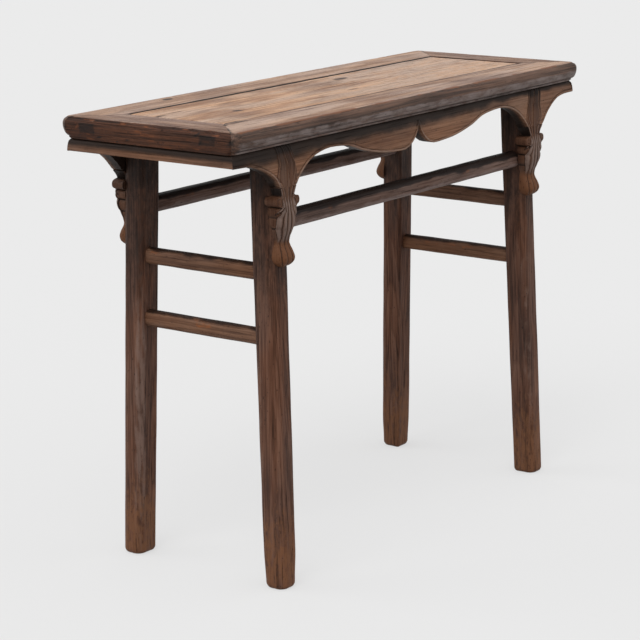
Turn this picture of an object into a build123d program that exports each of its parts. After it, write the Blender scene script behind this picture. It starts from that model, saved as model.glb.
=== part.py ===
"""Recessed-leg altar table in elm: splayed legs, carved spandrels, mitred frame-and-panel top.

Frame: +X runs along the table, -Y is the front, +Z is up, and the origin lies on the floor
under the middle of the top. All lengths are in millimetres.
"""

from build123d import *
import math
import os

# --- Top -------------------------------------------------------------------------------------
table_height = 850.0
top_length = 1122.0
top_depth = 410.0
top_thickness = 39.0
top_corner_radius = 14.0  # plan rounding at the four corners
bullnose_radius = 13.5  # upper rounding of the edge
edge_undercut = 12.5  # how far the edge draws in above the quirk
edge_foot_inset = 16.0  # inset of the underside's arris from the widest line
edge_quirk_height = 5.5  # height of the quirk over the underside
edge_quirk_depth = 2.5
edge_bead_proud = 1.2

end_rail_width = 81.0
long_rail_width = 90.0
panel_thickness = 20.0
panel_drop = 0.5  # panel face below the frame's face
panel_gap = 0.8  # shrinkage gap round the panel's face
tongue_reach = 9.0
tongue_thickness = 8.0
tongue_depth = 7.0  # from the panel's face down to its tongue
board_tongue_reach = 5.0
board_tongue_thickness = 6.0
board_tongue_rise = 1.0  # over the underside of the panel's own tongue

corner_tenon_width = 34.0
corner_tenon_thickness = 16.0
corner_tenon_rise = 13.0  # over the underside of the top
corner_tenon_shoulder = 7.0  # wood between the tenon and the sight edge

batten_spacing = 290.0
batten_width = 34.0
batten_neck_width = 22.0
batten_dovetail_width = 28.0
batten_dovetail_height = 4.5
batten_tenon_width = 20.0
batten_tenon_thickness = 9.0
batten_tenon_reach = 15.0

# --- Legs ------------------------------------------------------------------------------------
leg_setback_side = 152.4  # from the top's widest line in to the leg's axis, at the leg's head
leg_setback_front = 59.7
splay_side = 0.0207  # lean of the axis along X, per unit of height
splay_front = 0.0328  # lean of the axis along Y, per unit of height
leg_foot_width = 47.0
leg_head_width = 49.0
leg_outer_radius = 20.0  # the corner that faces away from the table
leg_side_radius = 12.0
foot_rounding = 7.0
leg_tenon_length = 28.0
leg_tenon_width = 20.0
leg_tenon_height = 22.0

# --- Aprons: depths are measured down from the underside of the top ---------------------------
apron_face_offset = 44.2  # from the leg's axis out to the apron's face
apron_thickness = 26.0
apron_end_setback = 4.0  # from the top's widest line in to the end apron's face
apron_end_depth = 23.5
apron_top_inset = 6.5  # how far the face curves back under the top
apron_bead_width = 5.0
apron_field_depth = 1.2
inset_steps = 10  # points that carry the bead's inner line along each curve
cusp_depth = 14.0
lobe_reach = 56.0  # from the middle of the table to each central lobe
lobe_depth = 60.5
shoulder_reach = 175.0
shoulder_depth = 44.0
arch_reach = 128.0  # from the leg's neck back to the crown of the arch
arch_depth = 23.5
arch_side = ((66.0, 39.0), (33.0, 66.0))  # reach from the neck, depth
wing_side = ((28.0, 64.0), (59.0, 40.0), (102.0, 25.5))
neck_half_width = 17.0
neck_depth = 90.0
neck_shift = 2.5  # from the leg's axis in to the neck's centre line
neck_overlap = 1.0  # of the neck's block into the rolls below it
neck_lean = 0.2  # lean of the outline where it runs into the neck, across per unit down

# --- Spandrels: half widths are measured from the neck's centre line --------------------------
lap_depth = 76.0  # above this the spandrel is a thin stem let into the apron
stem_thickness = 13.0
stem_head_half_width = 22.0
stem_waist_half_width = 13.5
ball_half_width = 33.5
ball_depth = 102.5
ball_radius = 9.0
first_notch = (23.0, 111.5)
second_lobe = (25.5, 121.0)
second_notch = (19.5, 130.0)
third_lobe = (24.5, 140.0)
third_notch = (21.5, 151.0)
waist = (20.5, 174.0)
bulb = (23.5, 202.0)
heel = (15.5, 215.0)
spandrel_depth = 219.0
drop_thickness = 27.6  # of the spandrel below the apron, from its face to its seat in the leg
paw_head_depth = 130.0  # below this the spandrel is rounded in plan, like a paw
paw_sections = (  # depth, half width, reach in front of the seat, rounding of the front corners
    (130.0, 26.0, 28.7, 6.0),
    (142.0, 24.5, 26.2, 8.0),
    (158.0, 23.5, 24.2, 18.0),
    (174.0, 20.5, 18.2, 17.0),
    (188.0, 22.0, 23.7, 17.0),
    (202.0, 23.5, 27.2, 18.0),
    (213.0, 19.0, 21.7, 15.0),
    (220.0, 11.0, 10.2, 9.0),
)
flute_places = (-0.6, -0.2, 0.2, 0.6)  # shares of the stem's half width
flute_width = 2.8
flute_cut = 1.4
flute_foot_half_width = 10.0
flute_foot_depth = 162.0

# --- Stretchers: depths are measured down from the underside of the top ------------------------
long_stretcher_depth = 144.0
long_stretcher_height = 33.0
long_stretcher_width = 31.0
side_stretcher_depths = {"upper": 232.5, "lower": 350.5}
side_stretcher_height = 32.0
side_stretcher_width = 26.0
stretcher_rounding = 11.0
stretcher_tenon_reach = 20.0  # past the leg's inner face
stretcher_tenon_width = 13.0
stretcher_tenon_height = 22.0

# --- Fits ------------------------------------------------------------------------------------
joint_gap = 0.1  # around tenons, dovetails and housings

# --- Worked out ------------------------------------------------------------------------------
underside = table_height - top_thickness
panel_face = table_height - panel_drop
panel_back = panel_face - panel_thickness
tongue_top = panel_face - tongue_depth
tongue_bottom = tongue_top - tongue_thickness
board_tongue_bottom = tongue_bottom + board_tongue_rise
half_length = top_length / 2
half_depth = top_depth / 2
half_panel_length = half_length - end_rail_width
half_panel_width = half_depth - long_rail_width
widest_height = table_height - bullnose_radius


def leg_axis(height):
    """Plan position of the right front leg's axis at a height."""
    drop = underside - height
    x = half_length - leg_setback_side + splay_side * drop
    y = -half_depth + leg_setback_front - splay_front * drop
    return x, y


def face_y(height):
    """Y of the apron's flat face at a height."""
    return leg_axis(height)[1] - apron_face_offset


def box_between(x_range, y_range, z_range, mode=Mode.ADD):
    """A block between two corners, drawn on its own floor."""
    with BuildSketch(Plane.XY.offset(z_range[0])) as plan:
        with Locations(((x_range[0] + x_range[1]) / 2, (y_range[0] + y_range[1]) / 2)):
            Rectangle(x_range[1] - x_range[0], y_range[1] - y_range[0])
    extrude(plan.sketch, amount=z_range[1] - z_range[0], mode=mode)


def finish(builder, name):
    """Label a finished piece and write it."""
    builder.part.label = name
    export_step(builder.part, f"parts/{name}.step")


def mirrored(piece, *planes):
    """A copy of a piece, mirrored about each plane in turn."""
    with BuildPart() as copy:
        add(piece)
        for plane in planes:
            mirror(about=plane, mode=Mode.REPLACE)
    return copy


os.makedirs("parts", exist_ok=True)


# =============================================================================================
# Top: two long rails, two end rails, a panel of two boards on three dovetailed battens
# =============================================================================================


def draw_edge_section(half_width):
    """Half of the top's section, from the middle of its face round the edge to its underside."""
    quirk = underside + edge_quirk_height
    Line((0, table_height), (half_width - bullnose_radius, table_height))
    JernArc(
        start=(half_width - bullnose_radius, table_height),
        tangent=(1, 0),
        radius=bullnose_radius,
        arc_size=-90,
    )
    TangentArc(
        (half_width, widest_height),
        (half_width - edge_undercut, quirk),
        tangent=(0, -1),
    )
    Line((half_width - edge_undercut, quirk), (half_width - edge_undercut - edge_quirk_depth, quirk))
    ThreePointArc(
        (half_width - edge_undercut - edge_quirk_depth, quirk),
        (half_width - edge_undercut - edge_quirk_depth + edge_bead_proud, underside + edge_quirk_height / 2),
        (half_width - edge_foot_inset, underside),
    )
    Line((half_width - edge_foot_inset, underside), (0, underside))


with BuildPart() as top_blank:
    with BuildSketch(Plane.YZ.offset(-half_length)) as cross_section:
        with BuildLine():
            draw_edge_section(half_depth)
            mirror(about=Plane.YZ)
        make_face()
    extrude(amount=top_length)
    with BuildSketch(Plane.XZ.offset(-half_depth)) as long_section:
        with BuildLine():
            draw_edge_section(half_length)
            mirror(about=Plane.YZ)
        make_face()
    extrude(amount=top_depth, mode=Mode.INTERSECT)
    with BuildSketch(Plane.XY.offset(underside)) as plan:
        RectangleRounded(top_length, top_depth, top_corner_radius)
    extrude(amount=top_thickness, mode=Mode.INTERSECT)

corner_tenon_y = (
    half_panel_width + corner_tenon_shoulder,
    half_panel_width + corner_tenon_shoulder + corner_tenon_width,
)
corner_tenon_z = (underside + corner_tenon_rise, underside + corner_tenon_rise + corner_tenon_thickness)
batten_x = [-batten_spacing, 0.0, batten_spacing]
batten_tenon_top = panel_back - joint_gap
head_x, head_y = leg_axis(underside)


def cut_panel_groove():
    """The groove for the panel's tongue, cut round the frame's sight edge."""
    reach = tongue_reach + joint_gap
    box_between(
        (-half_panel_length - reach, half_panel_length + reach),
        (-half_panel_width - reach, half_panel_width + reach),
        (tongue_bottom - joint_gap, tongue_top + joint_gap),
        Mode.SUBTRACT,
    )


with BuildPart() as front_rail:
    with BuildSketch(Plane.XY.offset(underside)) as plan:
        Polygon(
            (-half_length, -half_depth),
            (half_length, -half_depth),
            (half_panel_length, -half_panel_width),
            (-half_panel_length, -half_panel_width),
            align=None,
        )
    extrude(amount=top_thickness)
    box_between((-half_length, half_length), (-corner_tenon_y[1], -corner_tenon_y[0]), corner_tenon_z)
    add(top_blank.part, mode=Mode.INTERSECT)
    cut_panel_groove()
    for side in (-1, 1):
        box_between(
            (side * head_x - leg_tenon_length / 2 - joint_gap, side * head_x + leg_tenon_length / 2 + joint_gap),
            (head_y - leg_tenon_width / 2 - joint_gap, head_y + leg_tenon_width / 2 + joint_gap),
            (underside, underside + leg_tenon_height + joint_gap),
            Mode.SUBTRACT,
        )
    for x in batten_x:
        box_between(
            (x - batten_tenon_width / 2 - joint_gap, x + batten_tenon_width / 2 + joint_gap),
            (-half_panel_width - batten_tenon_reach - joint_gap, -half_panel_width),
            (batten_tenon_top - batten_tenon_thickness - joint_gap, batten_tenon_top + joint_gap),
            Mode.SUBTRACT,
        )

with BuildPart() as right_end_rail:
    with BuildSketch(Plane.XY.offset(underside)) as plan:
        Polygon(
            (half_length, -half_depth),
            (half_length, half_depth),
            (half_panel_length, half_panel_width),
            (half_panel_length, -half_panel_width),
            align=None,
        )
    extrude(amount=top_thickness)
    add(top_blank.part, mode=Mode.INTERSECT)
    cut_panel_groove()
    for side in (-1, 1):
        tenon_middle = side * (corner_tenon_y[0] + corner_tenon_y[1]) / 2
        box_between(
            (half_panel_length, half_length),
            (
                tenon_middle - corner_tenon_width / 2 - joint_gap,
                tenon_middle + corner_tenon_width / 2 + joint_gap,
            ),
            (corner_tenon_z[0] - joint_gap, corner_tenon_z[1] + joint_gap),
            Mode.SUBTRACT,
        )

finish(front_rail, "top_rail_front")
finish(mirrored(front_rail.part, Plane.XZ), "top_rail_rear")
finish(right_end_rail, "top_end_rail_right")
finish(mirrored(right_end_rail.part, Plane.YZ), "top_end_rail_left")


def draw_batten_section(clearance):
    """Section of a batten's dovetail, drawn in the open sketch."""
    neck = batten_neck_width / 2 + clearance
    flare = batten_dovetail_width / 2 + clearance
    crown = panel_back + batten_dovetail_height + clearance
    Polygon((-neck, panel_back), (neck, panel_back), (flare, crown), (-flare, crown), align=None)


def batten_piece():
    """One batten at the table's middle."""
    with BuildPart() as batten:
        box_between(
            (-batten_width / 2, batten_width / 2),
            (-half_panel_width, half_panel_width),
            (underside + joint_gap, panel_back),
        )
        with BuildSketch(Plane.XZ.offset(-half_panel_width + panel_gap)) as dovetail:
            draw_batten_section(0)
        extrude(dovetail.sketch, amount=2 * (half_panel_width - panel_gap))
        box_between(
            (-batten_tenon_width / 2, batten_tenon_width / 2),
            (-half_panel_width - batten_tenon_reach, half_panel_width + batten_tenon_reach),
            (batten_tenon_top - batten_tenon_thickness, batten_tenon_top),
        )
    return batten


def cut_batten_housings():
    """The dovetailed housings across the panel's back."""
    for x in batten_x:
        with BuildSketch(Plane.XZ.offset(-half_depth)) as housing:
            with Locations((x, 0)):
                draw_batten_section(joint_gap)
        extrude(housing.sketch, amount=top_depth, mode=Mode.SUBTRACT)


with BuildPart() as front_board:
    box_between(
        (-half_panel_length + panel_gap, half_panel_length - panel_gap),
        (-half_panel_width + panel_gap, 0),
        (panel_back, panel_face),
    )
    box_between(
        (-half_panel_length - tongue_reach, half_panel_length + tongue_reach),
        (-half_panel_width - tongue_reach, 0),
        (tongue_bottom, tongue_top),
    )
    box_between(
        (-half_panel_length - tongue_reach, half_panel_length + tongue_reach),
        (0, board_tongue_reach),
        (board_tongue_bottom, board_tongue_bottom + board_tongue_thickness),
    )
    cut_batten_housings()

with BuildPart() as rear_board:
    box_between(
        (-half_panel_length + panel_gap, half_panel_length - panel_gap),
        (0, half_panel_width - panel_gap),
        (panel_back, panel_face),
    )
    box_between(
        (-half_panel_length - tongue_reach, half_panel_length + tongue_reach),
        (0, half_panel_width + tongue_reach),
        (tongue_bottom, tongue_top),
    )
    box_between(
        (-half_panel_length - tongue_reach, half_panel_length + tongue_reach),
        (0, board_tongue_reach + joint_gap),
        (board_tongue_bottom - joint_gap, board_tongue_bottom + board_tongue_thickness + joint_gap),
        Mode.SUBTRACT,
    )
    cut_batten_housings()

finish(front_board, "panel_board_front")
finish(rear_board, "panel_board_rear")

for name, x in zip(("left", "centre", "right"), batten_x):
    with BuildPart() as batten:
        with Locations((x, 0, 0)):
            add(batten_piece().part)
    finish(batten, f"batten_{name}")


# =============================================================================================
# Aprons and spandrels, drawn on the plane of the front apron's face
# =============================================================================================

neck_x = leg_axis(underside - neck_depth)[0] - neck_shift
apron_half_length = half_length - apron_end_setback
slant = math.sqrt(1 + splay_front**2)
front_plane = Plane(origin=(0, face_y(0), 0), x_dir=(1, 0, 0), z_dir=(0, -1, splay_front))


def on_face(x, depth):
    """A point of the sloping front plane, a depth below the underside of the top."""
    return x, (underside - depth) * slant


def draw_apron_side(side):
    """The apron's lower outline, from the cusp to the end of the table on one side."""
    lobe = on_face(side * lobe_reach, lobe_depth)
    arch = on_face(side * (neck_x - arch_reach), arch_depth)
    neck_inside = on_face(side * (neck_x - neck_half_width), neck_depth)
    neck_outside = on_face(side * (neck_x + neck_half_width), neck_depth)
    corner = on_face(side * (apron_half_length + apron_thickness), apron_end_depth)
    arch_points = [on_face(side * (neck_x - reach), depth) for reach, depth in arch_side]
    wing_points = [on_face(side * (neck_x + reach), depth) for reach, depth in wing_side]
    TangentArc(lobe, on_face(0, cusp_depth), tangent=(-side, 0))
    swept = (
        Spline(lobe, on_face(side * shoulder_reach, shoulder_depth), arch, tangents=((side, 0), (side, 0))),
        Spline(arch, *arch_points, neck_inside, tangents=((side, 0), (neck_lean * side, -1))),
        Spline(neck_outside, *wing_points, corner, tangents=((neck_lean * side, 1), (side, 0))),
    )
    Line(neck_inside, neck_outside)
    Line(corner, on_face(side * (apron_half_length + apron_thickness), -apron_thickness))
    return swept


def inset_curve(curve, side):
    """The bead's inner line: a curve that keeps the bead's width from a curve of the outline."""
    points = []
    for step in range(inset_steps + 1):
        share = step / inset_steps
        inward = Vector(0, 0, 1).cross(curve.tangent_at(share)).normalized() * side
        points.append(curve.position_at(share) + inward * apron_bead_width)
    return Spline(*points)


with BuildSketch(front_plane) as apron_outline:
    with BuildLine():
        swept_curves = {side: draw_apron_side(side) for side in (1, -1)}
        Line(
            on_face(apron_half_length + apron_thickness, -apron_thickness),
            on_face(-apron_half_length - apron_thickness, -apron_thickness),
        )
    make_face()

with BuildSketch(front_plane) as field_outline:
    with BuildLine():
        cusp_left = on_face(-apron_bead_width, cusp_depth)
        cusp_right = on_face(apron_bead_width, cusp_depth)
        ThreePointArc(cusp_left, on_face(0, cusp_depth - apron_bead_width), cusp_right)
        field_ends = []
        for side, cusp in ((1, cusp_right), (-1, cusp_left)):
            shoulder_line, arch_line, wing_line = [inset_curve(curve, side) for curve in swept_curves[side]]
            TangentArc(shoulder_line @ 0, cusp, tangent=(-side, 0))
            Line(arch_line @ 1, wing_line @ 0)
            field_head = on_face(side * (apron_half_length + apron_thickness), -apron_thickness)
            Line(wing_line @ 1, field_head)
            field_ends.append(field_head)
        Line(*field_ends)
    make_face()

crown_height = underside - apron_end_depth
corner_y = face_y(crown_height)
mitre_overrun = 2 * apron_thickness

with BuildPart() as apron_blank:
    extrude(apron_outline.sketch, amount=-apron_thickness)
    split(bisect_by=Plane.XY.offset(underside), keep=Keep.BOTTOM)
    with BuildSketch(Plane.YZ.offset(-half_length)) as face_curve:
        with BuildLine():
            TangentArc(
                (corner_y, crown_height),
                (corner_y + apron_top_inset, underside),
                tangent=(splay_front, 1),
            )
            Polyline(
                (corner_y + apron_top_inset, underside),
                (corner_y + apron_top_inset, table_height),
                (corner_y - apron_thickness, table_height),
                (corner_y - apron_thickness, crown_height),
                (corner_y, crown_height),
            )
        make_face()
    extrude(amount=top_length, mode=Mode.SUBTRACT)
    with BuildSketch(Plane.XY) as mitred_plan:
        Polygon(
            (-apron_half_length - mitre_overrun, corner_y - mitre_overrun),
            (apron_half_length + mitre_overrun, corner_y - mitre_overrun),
            (apron_half_length - mitre_overrun, corner_y + mitre_overrun),
            (-apron_half_length + mitre_overrun, corner_y + mitre_overrun),
            align=None,
        )
    extrude(amount=table_height, mode=Mode.INTERSECT)

with BuildPart() as right_end_apron:
    with BuildSketch(Plane.XZ.offset(-half_depth)) as strip_section:
        with BuildLine():
            TangentArc(
                (apron_half_length, crown_height),
                (apron_half_length - apron_top_inset, underside),
                tangent=(0, 1),
            )
            Polyline(
                (apron_half_length - apron_top_inset, underside),
                (apron_half_length - apron_thickness, underside),
                (apron_half_length - apron_thickness, crown_height),
                (apron_half_length, crown_height),
            )
        make_face()
    extrude(amount=top_depth)
    with BuildSketch(Plane.XY) as strip_plan:
        Polygon(
            (apron_half_length + mitre_overrun, corner_y - mitre_overrun),
            (apron_half_length + mitre_overrun, -corner_y + mitre_overrun),
            (apron_half_length - mitre_overrun, -corner_y - mitre_overrun),
            (apron_half_length - mitre_overrun, corner_y + mitre_overrun),
            align=None,
        )
    extrude(amount=table_height, mode=Mode.INTERSECT)

finish(right_end_apron, "end_apron_right")
finish(mirrored(right_end_apron.part, Plane.YZ), "end_apron_left")


def draw_stem_edge(side):
    """One long edge of the stem, from over the top's underside down to the lap."""
    head = on_face(neck_x + side * stem_head_half_width, 0)
    foot = on_face(neck_x + side * stem_waist_half_width, lap_depth)
    Line(on_face(neck_x + side * stem_head_half_width, -apron_end_depth), head)
    Spline(head, foot, tangents=((0, -1), (-neck_lean * side, -1)))


def draw_drop_side(side):
    """The spandrel's outline below the neck on one side: ball, two lobes, waist and bulb."""

    def place(half_width, depth):
        return on_face(neck_x + side * half_width, depth)

    ball_centre = ball_half_width - ball_radius
    shoulder = ball_radius * math.sqrt(0.5)
    ball_top = place(ball_centre - shoulder, ball_depth - shoulder)
    Line(place(neck_half_width, neck_depth), ball_top)
    ThreePointArc(ball_top, place(ball_half_width, ball_depth), place(*first_notch))
    ThreePointArc(place(*first_notch), place(*second_lobe), place(*second_notch))
    ThreePointArc(place(*second_notch), place(*third_lobe), place(*third_notch))
    Spline(place(*third_notch), place(*waist), place(*bulb), tangents=((-0.4 * side, -1), (0, -1)))
    ThreePointArc(place(*bulb), place(*heel), place(0, spandrel_depth))


def draw_flute_edge(share, side):
    """One edge of a flute that runs down the stem, through the neck and over the leaf."""
    half_widths = (stem_head_half_width, stem_waist_half_width, neck_half_width, flute_foot_half_width)
    depths = (0.0, lap_depth, third_lobe[1], flute_foot_depth)
    points = [
        on_face(neck_x + share * half_width + side * flute_width / 2, depth)
        for half_width, depth in zip(half_widths, depths)
    ]
    return Spline(*points)


with BuildSketch(front_plane) as stem_outline:
    with BuildLine():
        draw_stem_edge(1)
        draw_stem_edge(-1)
        Line(
            on_face(neck_x - stem_head_half_width, -apron_end_depth),
            on_face(neck_x + stem_head_half_width, -apron_end_depth),
        )
        Line(
            on_face(neck_x - stem_waist_half_width, lap_depth),
            on_face(neck_x + stem_waist_half_width, lap_depth),
        )
    make_face()

with BuildSketch(front_plane) as neck_zone:
    Polygon(
        on_face(neck_x - ball_half_width, lap_depth),
        on_face(neck_x + ball_half_width, lap_depth),
        on_face(neck_x + ball_half_width, neck_depth + neck_overlap),
        on_face(neck_x - ball_half_width, neck_depth + neck_overlap),
        align=None,
    )

with BuildSketch(front_plane) as drop_outline:
    with BuildLine():
        draw_drop_side(1)
        draw_drop_side(-1)
        Line(
            on_face(neck_x - neck_half_width, neck_depth),
            on_face(neck_x + neck_half_width, neck_depth),
        )
    make_face()

with BuildPart() as stem_blank:
    extrude(stem_outline.sketch, amount=-stem_thickness)
    extrude(neck_zone.sketch, amount=-2 * apron_thickness)

with BuildPart() as front_apron:
    add(apron_blank.part)
    extrude(field_outline.sketch, amount=-apron_field_depth, mode=Mode.SUBTRACT)
    add(stem_blank.part, mode=Mode.SUBTRACT)
    add(mirrored(stem_blank.part, Plane.YZ).part, mode=Mode.SUBTRACT)

with BuildPart() as drop_blank:
    extrude(drop_outline.sketch, amount=-drop_thickness)

with BuildPart() as paw_envelope:
    for depth, half_width, reach, rounding in paw_sections:
        height = underside - depth
        with BuildSketch(Plane.XY.offset(height)):
            with Locations((neck_x, face_y(height) + drop_thickness)):
                RectangleRounded(2 * half_width, 2 * reach, rounding)
    loft()
    box_between(
        (neck_x - 2 * ball_half_width, neck_x + 2 * ball_half_width),
        (corner_y - 2 * drop_thickness, corner_y + 2 * drop_thickness),
        (underside - paw_head_depth, underside),
    )

with BuildPart() as drop:
    add(drop_blank.part)
    add(paw_envelope.part, mode=Mode.INTERSECT)

with BuildPart() as right_spandrel:
    add(stem_blank.part)
    add(apron_blank.part, mode=Mode.INTERSECT)
    add(drop.part)
    for share in flute_places:
        with BuildSketch(front_plane) as flute:
            with BuildLine():
                edges = [draw_flute_edge(share, side) for side in (-1, 1)]
                for end in (0, 1):
                    Line(edges[0] @ end, edges[1] @ end)
            make_face()
        extrude(flute.sketch, amount=-flute_cut, mode=Mode.SUBTRACT)


# =============================================================================================
# Legs: round outside, square inside, splayed both ways
# =============================================================================================

with BuildPart() as leg_shaft:
    for height, width in ((0.0, leg_foot_width), (underside, leg_head_width)):
        with BuildSketch(Plane.XY.offset(height)) as leg_section:
            with Locations(leg_axis(height)):
                Rectangle(width, width)
            outward = leg_section.vertices().sort_by(lambda vertex: vertex.X - vertex.Y)
            fillet(outward[1:3], radius=leg_side_radius)
            outward = leg_section.vertices().sort_by(lambda vertex: vertex.X - vertex.Y)
            fillet(outward[-1], radius=leg_outer_radius)
    loft()
    sole = leg_shaft.faces().sort_by(Axis.Z)[0]
    fillet(sole.edges(), radius=foot_rounding)

long_tenon_reach = leg_axis(underside - long_stretcher_depth)[0] - leg_head_width / 2 + stretcher_tenon_reach


def long_tenon(clearance, mode=Mode.ADD):
    """The long stretcher's tenons, as one bar from tenon to tenon."""
    height = underside - long_stretcher_depth
    with BuildSketch(Plane.YZ.offset(-long_tenon_reach - clearance)) as tenon:
        with Locations((leg_axis(height)[1], height)):
            Rectangle(stretcher_tenon_width + 2 * clearance, stretcher_tenon_height + 2 * clearance)
    extrude(tenon.sketch, amount=2 * (long_tenon_reach + clearance), mode=mode)


def side_tenon(depth, clearance, mode=Mode.ADD):
    """A side stretcher's tenons, as one bar from tenon to tenon."""
    height = underside - depth
    x, y = leg_axis(height)
    reach = -y - leg_head_width / 2 + stretcher_tenon_reach + clearance
    with BuildSketch(Plane.XZ.offset(-reach)) as tenon:
        with Locations((x, height)):
            Rectangle(stretcher_tenon_width + 2 * clearance, stretcher_tenon_height + 2 * clearance)
    extrude(tenon.sketch, amount=2 * reach, mode=mode)


with BuildPart() as right_leg:
    add(leg_shaft.part)
    add(apron_blank.part, mode=Mode.SUBTRACT)
    add(drop_blank.part, mode=Mode.SUBTRACT)
    long_tenon(joint_gap, Mode.SUBTRACT)
    for depth in side_stretcher_depths.values():
        side_tenon(depth, joint_gap, Mode.SUBTRACT)
    box_between(
        (head_x - leg_tenon_length / 2, head_x + leg_tenon_length / 2),
        (head_y - leg_tenon_width / 2, head_y + leg_tenon_width / 2),
        (underside, underside + leg_tenon_height),
    )

with BuildPart() as front_stretcher:
    stretcher_z = underside - long_stretcher_depth
    stretcher_x, stretcher_y = leg_axis(stretcher_z)
    with BuildSketch(Plane.YZ.offset(-stretcher_x)):
        with Locations((stretcher_y, stretcher_z)):
            RectangleRounded(long_stretcher_width, long_stretcher_height, stretcher_rounding)
    extrude(amount=2 * stretcher_x)
    add(leg_shaft.part, mode=Mode.SUBTRACT)
    add(mirrored(leg_shaft.part, Plane.YZ).part, mode=Mode.SUBTRACT)
    long_tenon(0)

corners = {
    "front_right": (),
    "front_left": (Plane.YZ,),
    "rear_right": (Plane.XZ,),
    "rear_left": (Plane.YZ, Plane.XZ),
}
for corner, planes in corners.items():
    finish(mirrored(right_leg.part, *planes), f"leg_{corner}")
    finish(mirrored(right_spandrel.part, *planes), f"spandrel_{corner}")

finish(front_apron, "apron_front")
finish(mirrored(front_apron.part, Plane.XZ), "apron_rear")
finish(front_stretcher, "stretcher_front")
finish(mirrored(front_stretcher.part, Plane.XZ), "stretcher_rear")

for place, depth in side_stretcher_depths.items():
    with BuildPart() as side_stretcher:
        stretcher_z = underside - depth
        stretcher_x, stretcher_y = leg_axis(stretcher_z)
        with BuildSketch(Plane.XZ.offset(stretcher_y)):
            with Locations((stretcher_x, stretcher_z)):
                RectangleRounded(side_stretcher_width, side_stretcher_height, stretcher_rounding)
        extrude(amount=-2 * stretcher_y)
        add(leg_shaft.part, mode=Mode.SUBTRACT)
        add(mirrored(leg_shaft.part, Plane.XZ).part, mode=Mode.SUBTRACT)
        side_tenon(depth, 0)
    finish(side_stretcher, f"side_stretcher_right_{place}")
    finish(mirrored(side_stretcher.part, Plane.YZ), f"side_stretcher_left_{place}")
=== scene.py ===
"""Looks of a recessed-leg altar table in worn elm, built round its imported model.

Every place is in metres, in the table's own frame: +X runs along the table, -Y is the front,
+Z is up, and the floor lies at zero.
"""

import logging
import math
from bisect import bisect_right
from dataclasses import dataclass
from enum import Enum
from typing import Callable, Sequence, Union

import bmesh
import bpy
from mathutils import Matrix, Vector, noise
from mathutils.kdtree import KDTree


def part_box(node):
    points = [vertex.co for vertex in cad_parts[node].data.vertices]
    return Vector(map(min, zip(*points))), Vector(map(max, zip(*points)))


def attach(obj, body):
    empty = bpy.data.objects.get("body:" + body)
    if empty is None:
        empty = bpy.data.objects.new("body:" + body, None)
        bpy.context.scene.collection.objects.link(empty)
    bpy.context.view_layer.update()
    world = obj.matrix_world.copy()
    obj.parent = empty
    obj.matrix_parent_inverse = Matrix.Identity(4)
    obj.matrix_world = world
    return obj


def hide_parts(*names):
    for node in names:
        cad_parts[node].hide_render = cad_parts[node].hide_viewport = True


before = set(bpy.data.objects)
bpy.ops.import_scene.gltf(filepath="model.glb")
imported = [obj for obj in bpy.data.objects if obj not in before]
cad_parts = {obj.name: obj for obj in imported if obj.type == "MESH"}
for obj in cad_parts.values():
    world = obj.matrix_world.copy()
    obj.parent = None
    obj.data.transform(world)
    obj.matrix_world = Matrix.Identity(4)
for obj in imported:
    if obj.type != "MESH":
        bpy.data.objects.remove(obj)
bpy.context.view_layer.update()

log = logging.getLogger("altar_table")

MM = 0.001
BODY = "root"
Pair = tuple[float, float]
Point = tuple[float, float, float]
Colour = tuple[int, int, int]
Feed = Union[float, Sequence[float], bpy.types.NodeSocket]
Sockets = bpy.types.bpy_prop_collection


# ---------------------------------------------------------------------------------------------
# Small helpers
# ---------------------------------------------------------------------------------------------


def mix(low: float, high: float, share: float) -> float:
    """Straight-line blend of two numbers."""
    return low + (high - low) * share


def smooth(low: float, high: float, value: float) -> float:
    """Smooth step from 0 at low to 1 at high."""
    share = min(1.0, max(0.0, (value - low) / (high - low)))
    return share * share * (3 - 2 * share)


def bump(value: float, centre: float, width: float) -> float:
    """Bell-shaped hill of height 1 round a centre."""
    return math.exp(-(((value - centre) / width) ** 2))


def rough(x: float, y: float, z: float, scale: float) -> float:
    """Gradient noise from -1 to 1 at a point, with features of the given size in metres."""
    return noise.noise(Vector((x / scale, y / scale, z / scale)))


def srgb(red: int, green: int, blue: int) -> tuple[float, float, float, float]:
    """Turn a display colour into a linear one.

    Args:
        red: Red in steps of 255.
        green: Green in steps of 255.
        blue: Blue in steps of 255.

    Returns:
        Linear red, green and blue, and an alpha of 1.
    """

    def linear(step: int) -> float:
        """Linear share of one channel's step."""
        share = step / 255
        return share / 12.92 if share <= 0.04045 else ((share + 0.055) / 1.055) ** 2.4

    return linear(red), linear(green), linear(blue), 1.0


class Curve:
    """Smooth curve through (place, value) pairs, flat past both ends, which never overshoots."""

    def __init__(self, *pairs: tuple[float, float], unit: float = MM) -> None:
        """Lay the curve through pairs in rising order of place.

        Args:
            *pairs: Place and value, in the given unit.
            unit: Length of that unit in metres.
        """
        self.places = [place * unit for place, _ in pairs]
        self.values = [value * unit for _, value in pairs]
        rises = [
            (self.values[i + 1] - self.values[i]) / (self.places[i + 1] - self.places[i])
            for i in range(len(pairs) - 1)
        ]
        self.slopes = [rises[0]]
        for before, after in zip(rises, rises[1:]):
            level = before * after <= 0
            self.slopes.append(0.0 if level else 2 * before * after / (before + after))
        self.slopes.append(rises[-1])

    def __call__(self, at: float) -> float:
        """Give the curve's value.

        Args:
            at: Place in metres.

        Returns:
            The value there, in metres.
        """
        if at <= self.places[0]:
            return self.values[0]
        if at >= self.places[-1]:
            return self.values[-1]
        i = bisect_right(self.places, at) - 1
        span = self.places[i + 1] - self.places[i]
        t = (at - self.places[i]) / span
        return (
            (2 * t**3 - 3 * t**2 + 1) * self.values[i]
            + (t**3 - 2 * t**2 + t) * self.slopes[i] * span
            + (3 * t**2 - 2 * t**3) * self.values[i + 1]
            + (t**3 - t**2) * self.slopes[i + 1] * span
        )


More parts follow.
